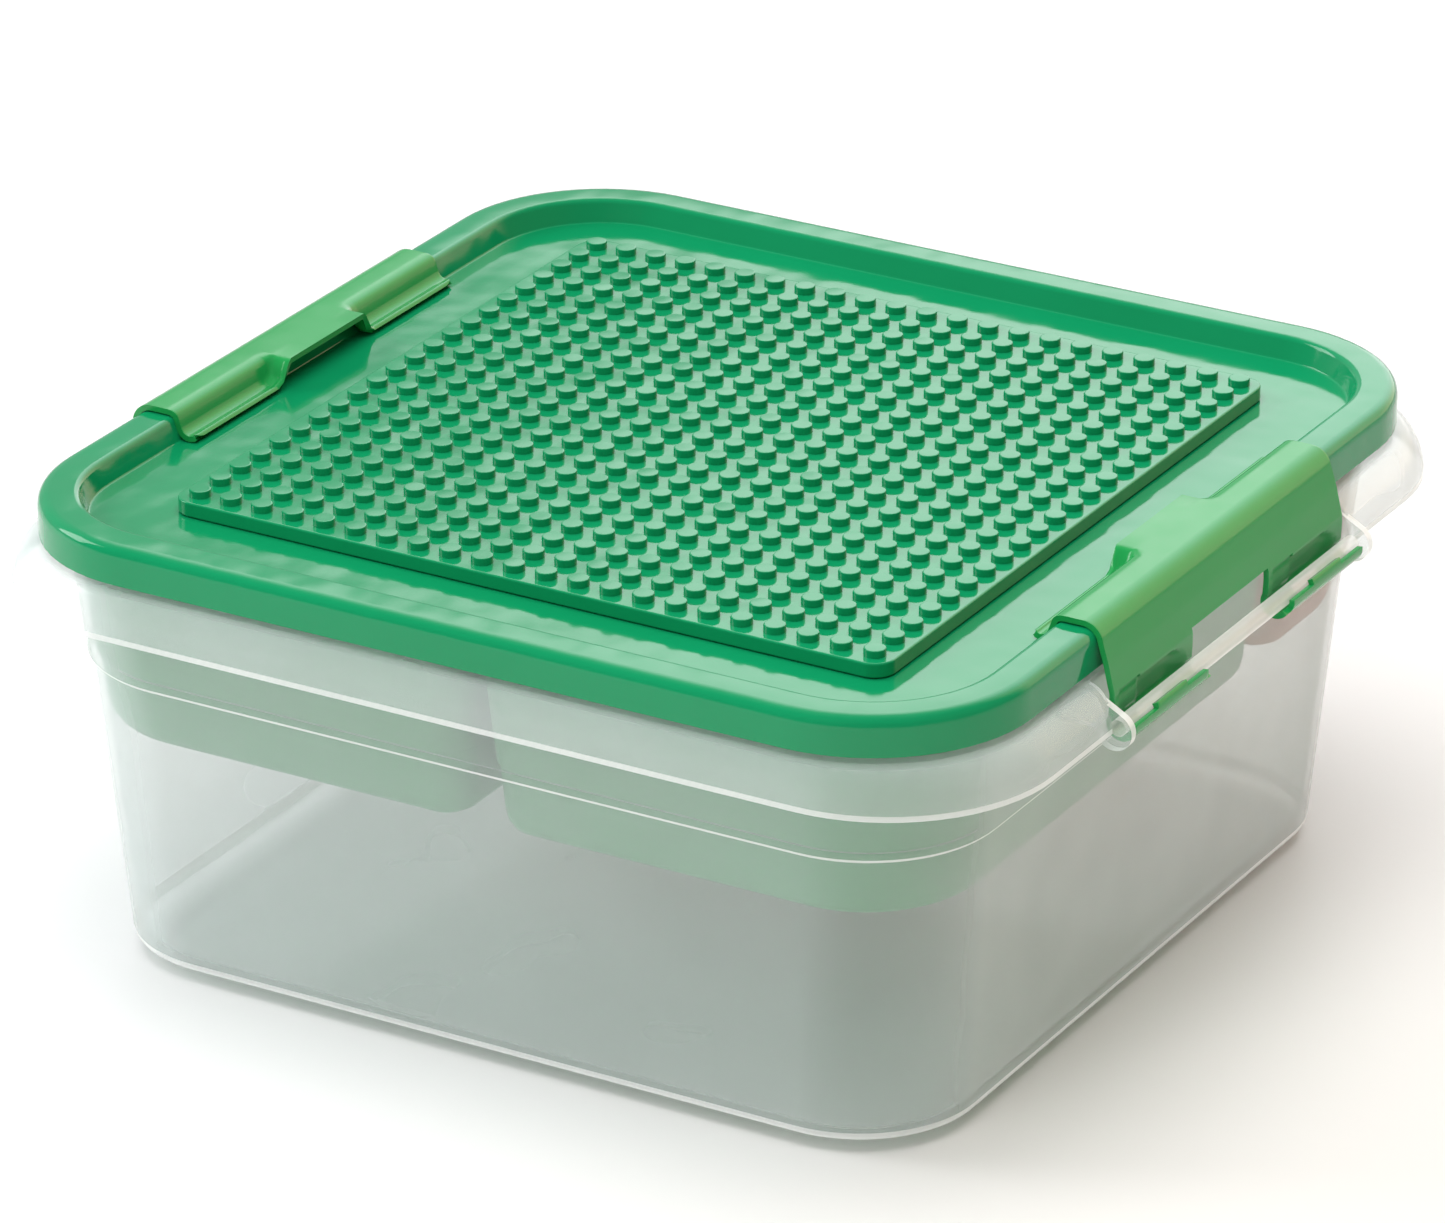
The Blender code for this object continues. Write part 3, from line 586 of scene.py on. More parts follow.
# %% Sizes of the tub
BIN_WALL = 1.5 * MM
SKIRT_WALL = 1.3 * MM
LIP_PLAY = 0.4 * MM
LIP_LEAN = 1.0 * MM
LIP_EDGE = 0.4 * MM
SKIRT_START = 1.2 * MM
SKIRT_OUT_X = 6.1 * MM
SKIRT_OUT_Y = bin_high.y - BAND_Y
SKIRT_DROP = 12.1 * MM
SKIRT_CORNER = 39.4 * MM
LEDGE_HEIGHT = 73.1 * MM
LEDGE_STEP = 1.0 * MM
LEDGE_CORNER = 30.5 * MM
UPPER_DRAFT = 2.4 * MM
LOWER_DRAFT = 5.6 * MM
BASE_CORNER = 28.0 * MM
BASE_ROUND = 2.4 * MM
BIN_FLOOR = 2.0 * MM
FLOOR_FILLET = 2.4 * MM
FOOT_HEIGHT = 3.0 * MM
FOOT_INSET = 7.0 * MM
FOOT_WIDTH = 2.0 * MM
SMALL_ROUND = 0.3 * MM
LIP_INSET = RIM_WIDTH - LID_WALL - LIP_PLAY
LIP_TOP = bin_high.z
FLANGE_UNDER = FLANGE_TOP - SKIRT_WALL
SKIRT_BOTTOM = BAND_BOTTOM - SKIRT_DROP
LEDGE_TOP = LEDGE_HEIGHT + LEDGE_STEP
WALL_INSET = LIP_INSET + LIP_LEAN - BIN_WALL
LEDGE_INSET = WALL_INSET + UPPER_DRAFT
BASE_INSET = LEDGE_INSET + LEDGE_STEP + LOWER_DRAFT
BELL_STEPS = 12
# Material slots: the clear wall, the edge painted whiter with a glow, and the rod with a painted rim glow.
CLEAR, EDGE, ROD = 0, 1, 2
print("ledge", round(LEDGE_TOP / MM, 1), "mm and lip", round(LIP_TOP / MM, 1), "mm above the table")

# %% Wall of the tub
def wall_level(inset, corner, z):
    """A level of the tub's wall, by how far it lies inside the lid's band."""
    return level(BAND_X - inset, BAND_Y - inset, corner, z)


def inner_wall(z, above_ledge=True):
    """How far the tub's inner face lies inside the band at a height, and its corner radius."""
    if above_ledge:
        share = (z - LEDGE_TOP) / (FLANGE_TOP - LEDGE_TOP)
        top_corner = BAND_CORNER - WALL_INSET - BIN_WALL
        low_corner = LEDGE_CORNER - BIN_WALL
        return LEDGE_INSET + BIN_WALL - UPPER_DRAFT * share, low_corner + (top_corner - low_corner) * share
    share = (LEDGE_TOP - z) / (LEDGE_TOP - FOOT_HEIGHT)
    high_corner = LEDGE_CORNER - BIN_WALL - LEDGE_STEP
    low_corner = BASE_CORNER - BIN_WALL
    inset = LEDGE_INSET + BIN_WALL + LEDGE_STEP + LOWER_DRAFT * share
    return inset, high_corner + (low_corner - high_corner) * share


print("inner wall", round(inner_wall(LEDGE_TOP)[0] / MM, 1), "mm inside the band at the ledge")

# %% Skirt of the tub
def bell_levels(depth):
    """Levels down the skirt, at a depth inside its outer face."""
    top_corner = BAND_CORNER - SKIRT_START
    levels = []
    for step in range(BELL_STEPS + 1):
        turn = math.pi / 2 * step / BELL_STEPS
        height = FLANGE_TOP - (FLANGE_TOP - SKIRT_BOTTOM) * (1 - math.cos(turn))
        outs = []
        for reach in (SKIRT_OUT_X, SKIRT_OUT_Y):
            across = (reach + SKIRT_START) * math.cos(turn)
            down = (FLANGE_TOP - SKIRT_BOTTOM) * math.sin(turn)
            slope = math.hypot(across, down)
            out = (reach + SKIRT_START) * math.sin(turn) - SKIRT_START - depth * down / slope
            outs.append((out, height - depth * across / slope))
        (out_x, z), (out_y, _) = outs
        corner = top_corner + (SKIRT_CORNER - top_corner) * math.sin(turn) - depth
        levels.append(level(BAND_X + out_x, BAND_Y + out_y, corner, z))
    return levels


print("skirt", round((bell_levels(0)[-1][2] - BAND_X) / MM, 1), "mm outside the band")

# %% Tub
def tub_section():
    """The tub's wall from the middle of its underside, up, over and down to its inner floor."""
    foot_outer = BASE_INSET + FOOT_INSET
    foot_inner = foot_outer + FOOT_WIDTH
    foot_corner = BASE_CORNER - FOOT_INSET
    step_corner = LEDGE_CORNER - LEDGE_STEP
    step_z = LEDGE_HEIGHT - LEDGE_STEP / 2
    top_corner = BAND_CORNER - WALL_INSET
    lip_outer = LIP_INSET - BIN_WALL
    inner_bell = bell_levels(SKIRT_WALL)
    outer_bell = bell_levels(0)[::-1]
    floor_top = FOOT_HEIGHT + BIN_FLOOR
    corners = [
        (wall_level(foot_inner + LIP_EDGE, foot_corner - FOOT_WIDTH - LIP_EDGE, FOOT_HEIGHT), 0, CLEAR),
        (wall_level(foot_inner, foot_corner - FOOT_WIDTH, 0), SMALL_ROUND, EDGE),
        (wall_level(foot_outer, foot_corner, 0), SMALL_ROUND, EDGE),
        (wall_level(foot_outer - LIP_EDGE, foot_corner + LIP_EDGE, FOOT_HEIGHT), SMALL_ROUND, CLEAR),
        (wall_level(BASE_INSET, BASE_CORNER, FOOT_HEIGHT), BASE_ROUND, EDGE),
        (wall_level(LEDGE_INSET + LEDGE_STEP, step_corner, step_z), SMALL_ROUND, EDGE),
        (wall_level(LEDGE_INSET, LEDGE_CORNER, LEDGE_HEIGHT), SMALL_ROUND, EDGE),
        (wall_level(WALL_INSET, top_corner, FLANGE_UNDER), 2 * SMALL_ROUND, CLEAR),
    ]
    corners += [(numbers, 0, CLEAR) for numbers in inner_bell[1:-1]]
    corners += [
        (inner_bell[-1], SMALL_ROUND, CLEAR), (outer_bell[0], SMALL_ROUND, EDGE), (outer_bell[1], 0, EDGE),
    ]
    corners += [(numbers, 0, CLEAR) for numbers in outer_bell[2:]]
    corners += [
        (inset_level(lip_outer + LIP_EDGE, FLANGE_TOP), SMALL_ROUND, CLEAR),
        (inset_level(lip_outer, LIP_TOP), SMALL_ROUND, EDGE),
        (inset_level(LIP_INSET, LIP_TOP), SMALL_ROUND, EDGE),
        (wall_level(*inner_wall(FLANGE_TOP), FLANGE_TOP), SMALL_ROUND, CLEAR),
        (wall_level(*inner_wall(LEDGE_TOP), LEDGE_TOP), SMALL_ROUND, CLEAR),
        (wall_level(*inner_wall(LEDGE_TOP, False), LEDGE_TOP), SMALL_ROUND, CLEAR),
        (wall_level(*inner_wall(floor_top, False), floor_top), FLOOR_FILLET, CLEAR),
    ]
    inset, corner = inner_wall(floor_top, False)
    corners.append((wall_level(inset + 2 * FLOOR_FILLET, corner - 2 * FLOOR_FILLET, floor_top), 0, CLEAR))
    return rounded_section(corners)


tub_shell = loft("tub_shell", *tub_section())
print("tub loft", len(tub_shell.data.vertices), "points")

# %% [markdown]
# Beside each latch the skirt is cut away, and two clear ears close its ends. A round rail runs from ear to
# ear, and the latch's fingers hold on to it. The notch, the ears and the rail are simple solids, so
# Booleans cut and join them, with the exact solver because their faces meet at odd angles.

# %% Sizes of the ears and rails
RAIL_OUT = 6.3 * MM
RAIL_DROP = 20.5 * MM
RAIL_RADIUS = 1.9 * MM
RAIL_SIDES = 32
RAIL_X = BAND_X + RAIL_OUT
RAIL_Z = RIM_TOP - RAIL_DROP
EAR_RADIUS = 4.3 * MM
EAR_TURN = (62, -130)
EAR_STEPS = 24
EAR_WALL = 2.0 * MM
EAR_PLAY = 1.5 * MM
NOTCH_INSET = 0.4 * MM
OVERRUN = 10.0 * MM
LATCH_HALF = latch_high.y
EAR_START = LATCH_HALF + EAR_PLAY
EAR_MIDDLE = EAR_START + EAR_WALL / 2
print("rails", round(2 * RAIL_RADIUS / MM, 1), "mm thick,", round(RAIL_Z / MM, 1), "mm above the table")

# %% Outline of an ear
def arc(centre_x, centre_z, radius, start, end, steps):
    """Points (x, z) of an arc, with its angles in degrees from +X towards +Z."""
    points = []
    for step in range(steps + 1):
        angle = math.radians(start + (end - start) * step / steps)
        points.append((centre_x + radius * math.cos(angle), centre_z + radius * math.sin(angle)))
    return points


def ear_outline():
    """The D-shaped plate that closes the skirt and holds the rail's end."""
    share = (FLANGE_UNDER - SKIRT_BOTTOM) / (FLANGE_UNDER - LEDGE_HEIGHT)
    root_high = WALL_INSET + BIN_WALL / 2
    root_low = root_high + UPPER_DRAFT * share
    bell = [(numbers[2], numbers[-1]) for numbers in bell_levels(SKIRT_WALL / 2)]
    underside = SKIRT_BOTTOM + SKIRT_WALL / 2
    points = [(BAND_X - root_high, bell[0][1])]
    points += bell[:BELL_STEPS // 2 + 1]
    points += arc(RAIL_X, RAIL_Z, EAR_RADIUS, *EAR_TURN, EAR_STEPS)
    points += [(RAIL_X - EAR_RADIUS, underside), (BAND_X - root_low, underside)]
    return points


print("an ear is drawn with", len(ear_outline()), "points")

# %% Ears, rails and notches
def prism(name, outline, low_y, high_y, side_slot):
    """A flat outline in x and z, given thickness along y. Its long narrow sides take a material slot."""
    shape = bmesh.new()
    near = [shape.verts.new((x, low_y, z)) for x, z in outline]
    far = [shape.verts.new((x, high_y, z)) for x, z in outline]
    shape.faces.new(near)
    shape.faces.new(far)
    for index in range(len(near)):
        after = (index + 1) % len(near)
        face = shape.faces.new((near[index], near[after], far[after], far[index]))
        face.material_index = side_slot
    bmesh.ops.recalc_face_normals(shape, faces=shape.faces)
    return as_object(shape, name)


def boolean(piece, tool, operation):
    """Cuts or joins a piece with a tool, and throws the tool away."""
    for thing in (piece, tool):
        link(thing)
        while len(thing.data.materials) < 3:
            thing.data.materials.append(None)
    modifier = piece.modifiers.new(operation.lower(), "BOOLEAN")
    modifier.operation = operation
    modifier.object = tool
    settle(piece)
    bpy.data.objects.remove(tool)


for side in (-1, 1):
    near, far = sorted((side * (BAND_X - NOTCH_INSET), side * (RAIL_X + OVERRUN)))
    square = [(near, SKIRT_BOTTOM - OVERRUN), (far, SKIRT_BOTTOM - OVERRUN)]
    square += [(far, FLANGE_TOP + SKIRT_WALL), (near, FLANGE_TOP + SKIRT_WALL)]
    boolean(tub_shell, prism("notch", square, -EAR_MIDDLE, EAR_MIDDLE, CLEAR), "DIFFERENCE")
    outline = [(side * x, z) for x, z in ear_outline()]
    boolean(tub_shell, prism("ear", outline, EAR_START, EAR_START + EAR_WALL, EDGE), "UNION")
    boolean(tub_shell, prism("ear", outline, -EAR_START - EAR_WALL, -EAR_START, EDGE), "UNION")
    circle = arc(side * RAIL_X, RAIL_Z, RAIL_RADIUS, 0, 360 - 360 / RAIL_SIDES, RAIL_SIDES - 1)
    boolean(tub_shell, prism("rail", circle, -EAR_MIDDLE, EAR_MIDDLE, ROD), "UNION")
place(tub_shell, "tub", "bin", "clear_tub", (clear_wall, clear_edge_painted_glow, clear_rod_painted_glow))

# %% [markdown]
# The lid's section is the same all the way round: a sunk floor, a raised hollow rim and a band outside. A
# shape with one section and a closed path is a sweep, so Geometry Nodes draw the path from its sizes and
# pull the section along it. Only the flat floor is then left open, and it is filled on both sides.

# %% Sizes of the lid
WELD = 0.001 * MM
LID_FLOOR = 2.0 * MM
RECESS_DEPTH = 5.3 * MM
RECESS_LEAN = 1.9 * MM
RIM_ROUND = 2.9 * MM
RIM_EDGE = 1.1 * MM
FOOT_EDGE = 0.4 * MM
LID_FLOOR_TOP = RIM_TOP - RECESS_DEPTH
LID_FLOOR_UNDER = LID_FLOOR_TOP - LID_FLOOR
CHANNEL_ROOF = RIM_TOP - LID_WALL
FLOOR_START = 4.0 * MM
print("the lid's floor is sunk by", round(RECESS_DEPTH / MM, 1), "mm")

# %% Section of the lid
def lid_section():
    """The lid's section as a guide curve: how far outside the band each place is, and its height."""
    recess = RIM_WIDTH + RECESS_LEAN
    stops = (
        (recess + FLOOR_START, LID_FLOOR_TOP, 0), (recess, LID_FLOOR_TOP, FOOT_EDGE),
        (RIM_WIDTH, RIM_TOP, RIM_EDGE), (0, RIM_TOP, RIM_ROUND),
        (0, BAND_BOTTOM, SMALL_ROUND), (LID_WALL, BAND_BOTTOM, SMALL_ROUND),
        (LID_WALL, CHANNEL_ROOF, RIM_EDGE), (RIM_WIDTH - LID_WALL, CHANNEL_ROOF, RIM_EDGE),
        (recess - LID_WALL, LID_FLOOR_UNDER, RIM_EDGE), (recess + FLOOR_START, LID_FLOOR_UNDER, 0),
    )
    points, _ = rounded_section([(np.array([-inset, z]), size, 0) for inset, z, size in stops])
    curve = bpy.data.curves.new("lid_section", "CURVE")
    spline = curve.splines.new("POLY")
    spline.points.add(len(points) - 1)
    for target, (out, z) in zip(spline.points, points):
        target.co = (out, -z, 0, 1)
    guide = bpy.data.objects.new("lid_section", curve)
    link(guide)
    return guide


section_guide = lid_section()
print("the lid's section has", len(section_guide.data.splines[0].points), "points")

# %% Tree that sweeps the lid
def set_input(modifier, tree, name, value):
    """Sets a Geometry Nodes input by the identifier of its socket."""
    for item in tree.interface.items_tree:
        if item.item_type == "SOCKET" and item.in_out == "INPUT" and item.name == name:
            modifier[item.identifier] = value


def node_group(name, sizes):
    """A Geometry Nodes tree with named inputs, and its group input and output."""
    tree = bpy.data.node_groups.new(name, "GeometryNodeTree")
    tree.interface.new_socket("Geometry", in_out="OUTPUT", socket_type="NodeSocketGeometry")
    for size_name, kind in sizes:
        tree.interface.new_socket(size_name, in_out="INPUT", socket_type=kind)
    return tree, tree.nodes.new("NodeGroupInput"), tree.nodes.new("NodeGroupOutput")


def end_tree(tree, geometry, given, result):
    """Ends a Geometry Nodes tree: instances become real, and the material is set."""
    real = add_node(tree, "GeometryNodeRealizeInstances", {"Geometry": geometry})
    finished = add_node(tree, "GeometryNodeSetMaterial", {
        "Geometry": real.outputs["Geometry"], "Material": given.outputs["Material"],
    })
    feed(tree, result, {"Geometry": finished.outputs["Geometry"]})


def grow(name, tree, values):
    """A plain mesh made by a Geometry Nodes tree with these input values."""
    piece = bpy.data.objects.new(name, bpy.data.meshes.new(name))
    modifier = piece.modifiers.new("nodes", "NODES")
    modifier.node_group = tree
    for value_name, value in values.items():
        set_input(modifier, tree, value_name, value)
    return settle(piece)


def sweep_tree():
    """A section pulled round a rounded rectangle that lies flat."""
    tree, given, result = node_group("sweep_round_a_rectangle", (
        ("Width", "NodeSocketFloat"), ("Depth", "NodeSocketFloat"),
        ("Corner", "NodeSocketFloat"), ("Corner Steps", "NodeSocketInt"),
        ("Section", "NodeSocketObject"), ("Material", "NodeSocketMaterial"),
    ))
    path = add_node(tree, "GeometryNodeCurvePrimitiveQuadrilateral", {
        "Width": given.outputs["Width"], "Height": given.outputs["Depth"],
    })
    filleted = add_node(tree, "GeometryNodeFilletCurve", {
        "Curve": path.outputs["Curve"],
        "Radius": given.outputs["Corner"], "Count": given.outputs["Corner Steps"],
    }, mode="POLY")
    level_path = add_node(tree, "GeometryNodeSetCurveNormal", {
        "Curve": filleted.outputs["Curve"],
    }, mode="Z_UP")
    section = add_node(tree, "GeometryNodeObjectInfo", {"Object": given.outputs["Section"]})
    swept = add_node(tree, "GeometryNodeCurveToMesh", {
        "Curve": level_path.outputs["Curve"], "Profile Curve": section.outputs["Geometry"],
    })
    end_tree(tree, swept.outputs["Mesh"], given, result)
    return tree


lid_sweep = sweep_tree()
print("the sweep's tree has", len(lid_sweep.nodes), "nodes")

# %% Lid
def close_floor(piece):
    """Fills the two open edges of the swept lid, and turns every face outwards."""
    shape = bmesh.new()
    shape.from_mesh(piece.data)
    bmesh.ops.remove_doubles(shape, verts=shape.verts, dist=WELD)
    open_edges = [edge for edge in shape.edges if edge.is_boundary]
    bmesh.ops.holes_fill(shape, edges=open_edges, sides=0)
    bmesh.ops.recalc_face_normals(shape, faces=shape.faces)
    shape.to_mesh(piece.data)
    shape.free()


lid_shell = grow("lid_shell", lid_sweep, {
    "Width": 2 * BAND_X, "Depth": 2 * BAND_Y, "Corner": BAND_CORNER, "Corner Steps": CORNER_STEPS,
    "Section": section_guide, "Material": lid_green,
})
bpy.data.objects.remove(section_guide)
close_floor(lid_shell)
place(lid_shell, "cover", "lid", "green_lid", (lid_green,))
lid_size = [round(measure / MM, 1) for measure in lid_shell.dimensions]
print("lid shell measures", lid_size, "mm")

# %% [markdown]
# The building plate on the lid carries 22 by 22 studs on a pitch of 8 mm, the size that building blocks of
# this kind press on. One stud is a short cylinder with a rounded top edge, and Geometry Nodes set it on
# every point of a grid. Sixteen sides are plenty, because a stud is only twenty pixels wide in the picture.

# %% Sizes of the plate and studs
STUDS_ACROSS = 22
STUD_PITCH = 8.0 * MM
STUD_RADIUS = 2.45 * MM
STUD_HEIGHT = 1.7 * MM
STUD_SINK = 0.4 * MM
STUD_SIDES = 16
STUD_ROUND = 0.35 * MM
PLATE_WALL = 1.6 * MM
PLATE_CORNER = 5.0 * MM
PLATE_EDGE = 0.5 * MM
PLATE_TOP = plate_high.z - STUD_HEIGHT
PLATE_HALF = plate_high.x
PLATE_BOTTOM = plate_low.z
print("plate", round(2 * PLATE_HALF / MM, 1), "mm square")

# %% Building plate
def plate_level(half, z):
    """A level of the building plate."""
    return level(half, half, PLATE_CORNER - (PLATE_HALF - half), z)


skin = PLATE_TOP - PLATE_WALL
hollow = PLATE_HALF - PLATE_WALL
plate_board = loft("building_plate", *rounded_section([
    (plate_level(hollow - PLATE_WALL, skin), 0, 0), (plate_level(hollow, skin), SMALL_ROUND, 0),
    (plate_level(hollow, PLATE_BOTTOM), SMALL_ROUND, 0),
    (plate_level(PLATE_HALF, PLATE_BOTTOM), SMALL_ROUND, 0),
    (plate_level(PLATE_HALF, PLATE_TOP), PLATE_EDGE, 0),
    (plate_level(PLATE_HALF - 2 * PLATE_WALL, PLATE_TOP), 0, 0),
]))
print("the plate's board has", len(plate_board.data.polygons), "faces")

# %% Studs
def stud_form():
    """One stud: a cone primitive with no taper, its top edge bevelled."""
    shape = bmesh.new()
    depth = STUD_HEIGHT + STUD_SINK
    bmesh.ops.create_cone(
        shape, cap_ends=True, segments=STUD_SIDES, radius1=STUD_RADIUS, radius2=STUD_RADIUS, depth=depth,
        matrix=Matrix.Translation((0, 0, depth / 2 - STUD_SINK)),
    )
    top = [edge for edge in shape.edges if all(vert.co.z > 0 for vert in edge.verts)]
    bmesh.ops.bevel(shape, geom=top, offset=STUD_ROUND, segments=2, profile=0.5, affect="EDGES")
    bottom = [face for face in shape.faces if face.normal.z < -0.9]
    bmesh.ops.delete(shape, geom=bottom, context="FACES_ONLY")
    return as_object(shape, "stud_form")


def stud_tree():
    """A stud on each point of a square grid, at the height of the plate's top."""
    tree, given, result = node_group("studs_on_a_grid", (
        ("Studs Across", "NodeSocketInt"), ("Pitch", "NodeSocketFloat"), ("Height", "NodeSocketFloat"),
        ("Stud", "NodeSocketObject"), ("Material", "NodeSocketMaterial"),
    ))
    gaps = add_node(tree, "ShaderNodeMath", {0: given.outputs["Studs Across"], 1: 1.0}, operation="SUBTRACT")
    across = add_node(tree, "ShaderNodeMath", {
        0: gaps.outputs["Value"], 1: given.outputs["Pitch"],
    }, operation="MULTIPLY")
    grid = add_node(tree, "GeometryNodeMeshGrid", {
        "Size X": across.outputs["Value"], "Size Y": across.outputs["Value"],
        "Vertices X": given.outputs["Studs Across"], "Vertices Y": given.outputs["Studs Across"],
    })
    lift = add_node(tree, "ShaderNodeCombineXYZ", {"Z": given.outputs["Height"]})
    raised = add_node(tree, "GeometryNodeSetPosition", {
        "Geometry": grid.outputs["Mesh"], "Offset": lift.outputs["Vector"],
    })
    stud = add_node(tree, "GeometryNodeObjectInfo", {"Object": given.outputs["Stud"], "As Instance": True})
    studs = add_node(tree, "GeometryNodeInstanceOnPoints", {
        "Points": raised.outputs["Geometry"], "Instance": stud.outputs["Geometry"],
    })
    end_tree(tree, studs.outputs["Instances"], given, result)
    return tree


stud = stud_form()
stud_field = grow("stud_field", stud_tree(), {
    "Studs Across": STUDS_ACROSS, "Pitch": STUD_PITCH, "Height": PLATE_TOP,
    "Stud": stud, "Material": lid_green,
})
bpy.data.objects.remove(stud)
place(plate_board, "cover", "stud_plate", "green_lid", (lid_green,))
place(stud_field, "cover", "stud_plate", "green_lid", (lid_green,))

# %% [markdown]
# A snap latch is a strip of plastic of even thickness. Going along its section, a hook reaches over the
# rim into the sunk lid, the strip bends down over the band, and at the bottom it curls round the rail like
# a J. So it is made as a sheet: one line in x and z, repeated at stations along y, with the faces left out
# where the real one is open. Solidify then gives the sheet its wall, and Bevel rounds every edge.

# %% Sizes of a latch
LATCH_WALL = 1.3 * MM
LATCH_PLAY = 0.4 * MM
LATCH_EDGE = 0.3 * MM
LATCH_EDGE_ANGLE = 55
SHEET_WELD = 0.005 * MM
HEEL_GAP = 0.1 * MM
PANEL_STEPS = 60
PANEL_ROWS = 10
FOOT_ROWS = 14
FADE_STATIONS = 7
HOOK_STEPS = 26
BEND_STEPS = 10
BEND_END = 15
HOOK_ROUND = 3.0 * MM
TAB_HALF = 15.2 * MM
TAB_FLARE = 4.4 * MM
CUTOUT_HALF = 18.0 * MM
CUTOUT_DROP = 12.5 * MM
RAIL_PLAY = 0.35 * MM
CLIP_STEP = 10
HEEL_ANGLE, BACK_ANGLE, TIP_ANGLE, LOW_LIP_ANGLE, HIGH_LIP_ANGLE = 145, 265, 325, 370, 395
TIP_END = 20.5 * MM
FINGER_START = 30.0 * MM
FINGER_END = 43.5 * MM
POCKET_STARTS = (-52.0 * MM, 20.0 * MM)
POCKET_LENGTH = 31.0 * MM
POCKET_SPLIT = 9.7 * MM
POCKET_FADE = 22.0 * MM
POCKET_DROP = 13.3 * MM
POCKET_SLOPE = 4.0 * MM
POCKET_RAMP = 0.3 * MM
POCKET_DEPTHS = (0.6 * MM, 1.2 * MM)
POCKET_FOOT = 205
RIM_INNER = BAND_X - RIM_WIDTH
BEND_RADIUS = 3.3 * MM
LATCH_TOP = RIM_TOP + LATCH_PLAY + LATCH_WALL
# Along the hook, in mm: out from the rim's inner edge, and up from the latch's top.
HOOK_PLACES = (
    (2.8, 0.0), (0.6, -0.1), (-1.0, -0.9), (-1.8, -2.8), (-2.5, -4.6),
    (-3.7, -5.4), (-4.8, -5.4), (-5.2, -5.1), (-5.8, -5.15), (-6.3, -5.7),
)
# Down the panel, as shares of the way out and down from the bend to the heel.
PANEL_SHARES = (
    (0.0, 0.0), (0.24, 0.135), (0.50, 0.28), (0.70, 0.42),
    (0.90, 0.57), (1.05, 0.67), (1.06, 0.82), (1.0, 1.0),
)
print("latch", round(2 * LATCH_HALF / MM, 1), "mm long, its top", round(LATCH_TOP / MM, 1), "mm up")

# %% Line of a latch
def smooth_path(points, steps):
    """Places on a Catmull-Rom curve through points, evenly numbered from the first to the last."""
    known = [np.array(point) for point in points]
    padded = [2 * known[0] - known[1], *known, 2 * known[-1] - known[-2]]
    places = []
    for step in range(steps + 1):
        spot = step / steps * (len(known) - 1)
        first = min(int(spot), len(known) - 2)
        t = spot - first
        a, b, c, d = padded[first:first + 4]
        square, cube = 2 * a - 5 * b + 4 * c - d, 3 * b - a - 3 * c + d
        places.append(0.5 * (2 * b + (c - a) * t + square * t ** 2 + cube * t ** 3))
    return places


def latch_line(hooked):
    """The latch's outer line in x and z, each place with its kind. 0 keeps the hook flat, 1 bends it."""
    line = []
    for out, up in smooth_path(HOOK_PLACES, HOOK_STEPS)[::-1]:
        line.append((RIM_INNER + out * MM, LATCH_TOP + up * hooked * MM, ("hook", 0)))
    bend_x, bend_z = BAND_X - BEND_RADIUS, RIM_TOP - BEND_RADIUS
    bend = arc(bend_x, bend_z, BEND_RADIUS + LATCH_PLAY + LATCH_WALL, 90, BEND_END, BEND_STEPS)
    line += [(x, z, ("bend", 0)) for x, z in bend]
    clip = RAIL_RADIUS + RAIL_PLAY
    top_x, top_z = bend[-1]
    end_x, end_z = arc(RAIL_X, RAIL_Z, clip, HEEL_ANGLE, HEEL_ANGLE, 1)[0]
    panel = [(top_x + (end_x - top_x) * x, top_z + (end_z - top_z) * z) for x, z in PANEL_SHARES]
    curve = smooth_path(panel, PANEL_STEPS)
    pocket_top = RIM_TOP - POCKET_DROP
    marks = [RIM_TOP - CUTOUT_DROP, end_z + HEEL_GAP]
    marks += [pocket_top - POCKET_RAMP * step for step in range(4)]
    marks += [top_z + (pocket_top - top_z) * step / PANEL_ROWS for step in range(1, PANEL_ROWS - 1)]
    marks += [pocket_top + (end_z - pocket_top) * step / FOOT_ROWS for step in range(3, FOOT_ROWS)]
    xs = [place[0] for place in curve[::-1]]
    zs = [place[1] for place in curve[::-1]]
    line += [(float(np.interp(z, zs, xs)), z, ("panel", z)) for z in sorted(marks, reverse=True)]
    angles = {*range(HEEL_ANGLE, HIGH_LIP_ANGLE + 1, CLIP_STEP), BACK_ANGLE, TIP_ANGLE, LOW_LIP_ANGLE}
    for angle in sorted(angles):
        line.append((*arc(RAIL_X, RAIL_Z, clip, angle, angle, 1)[0], ("clip", angle)))
    return line


print("a latch's line has", len(latch_line(1)), "places")

# %% [markdown]
# Two pockets are sunk in the latch's panel. They are made by moving the sheet's points inwards, because the
# wall then keeps its thickness behind them. Where the real latch is open, a face is just left out.

# %% Pockets and openings
def pocket_depth(y, z):
    """How far the pockets sink the panel: a shallow part, then a deeper one whose end rises and fades."""
    deepest = 0
    for start in POCKET_STARTS:
        along = y - start
        if not 0 <= along <= POCKET_LENGTH:
            continue
        fade = min(max((along - POCKET_FADE) / (POCKET_LENGTH - POCKET_FADE), 0), 1)
        depth = POCKET_DEPTHS[0] if along < POCKET_SPLIT else POCKET_DEPTHS[1] * (1 - fade * fade)
        top = RIM_TOP - POCKET_DROP - POCKET_SLOPE * fade * fade
        if along >= POCKET_SPLIT:
            top -= 2 * POCKET_RAMP
        deepest = max(deepest, depth * min(max(min(along, top - z) / POCKET_RAMP, 0), 1))
    return deepest


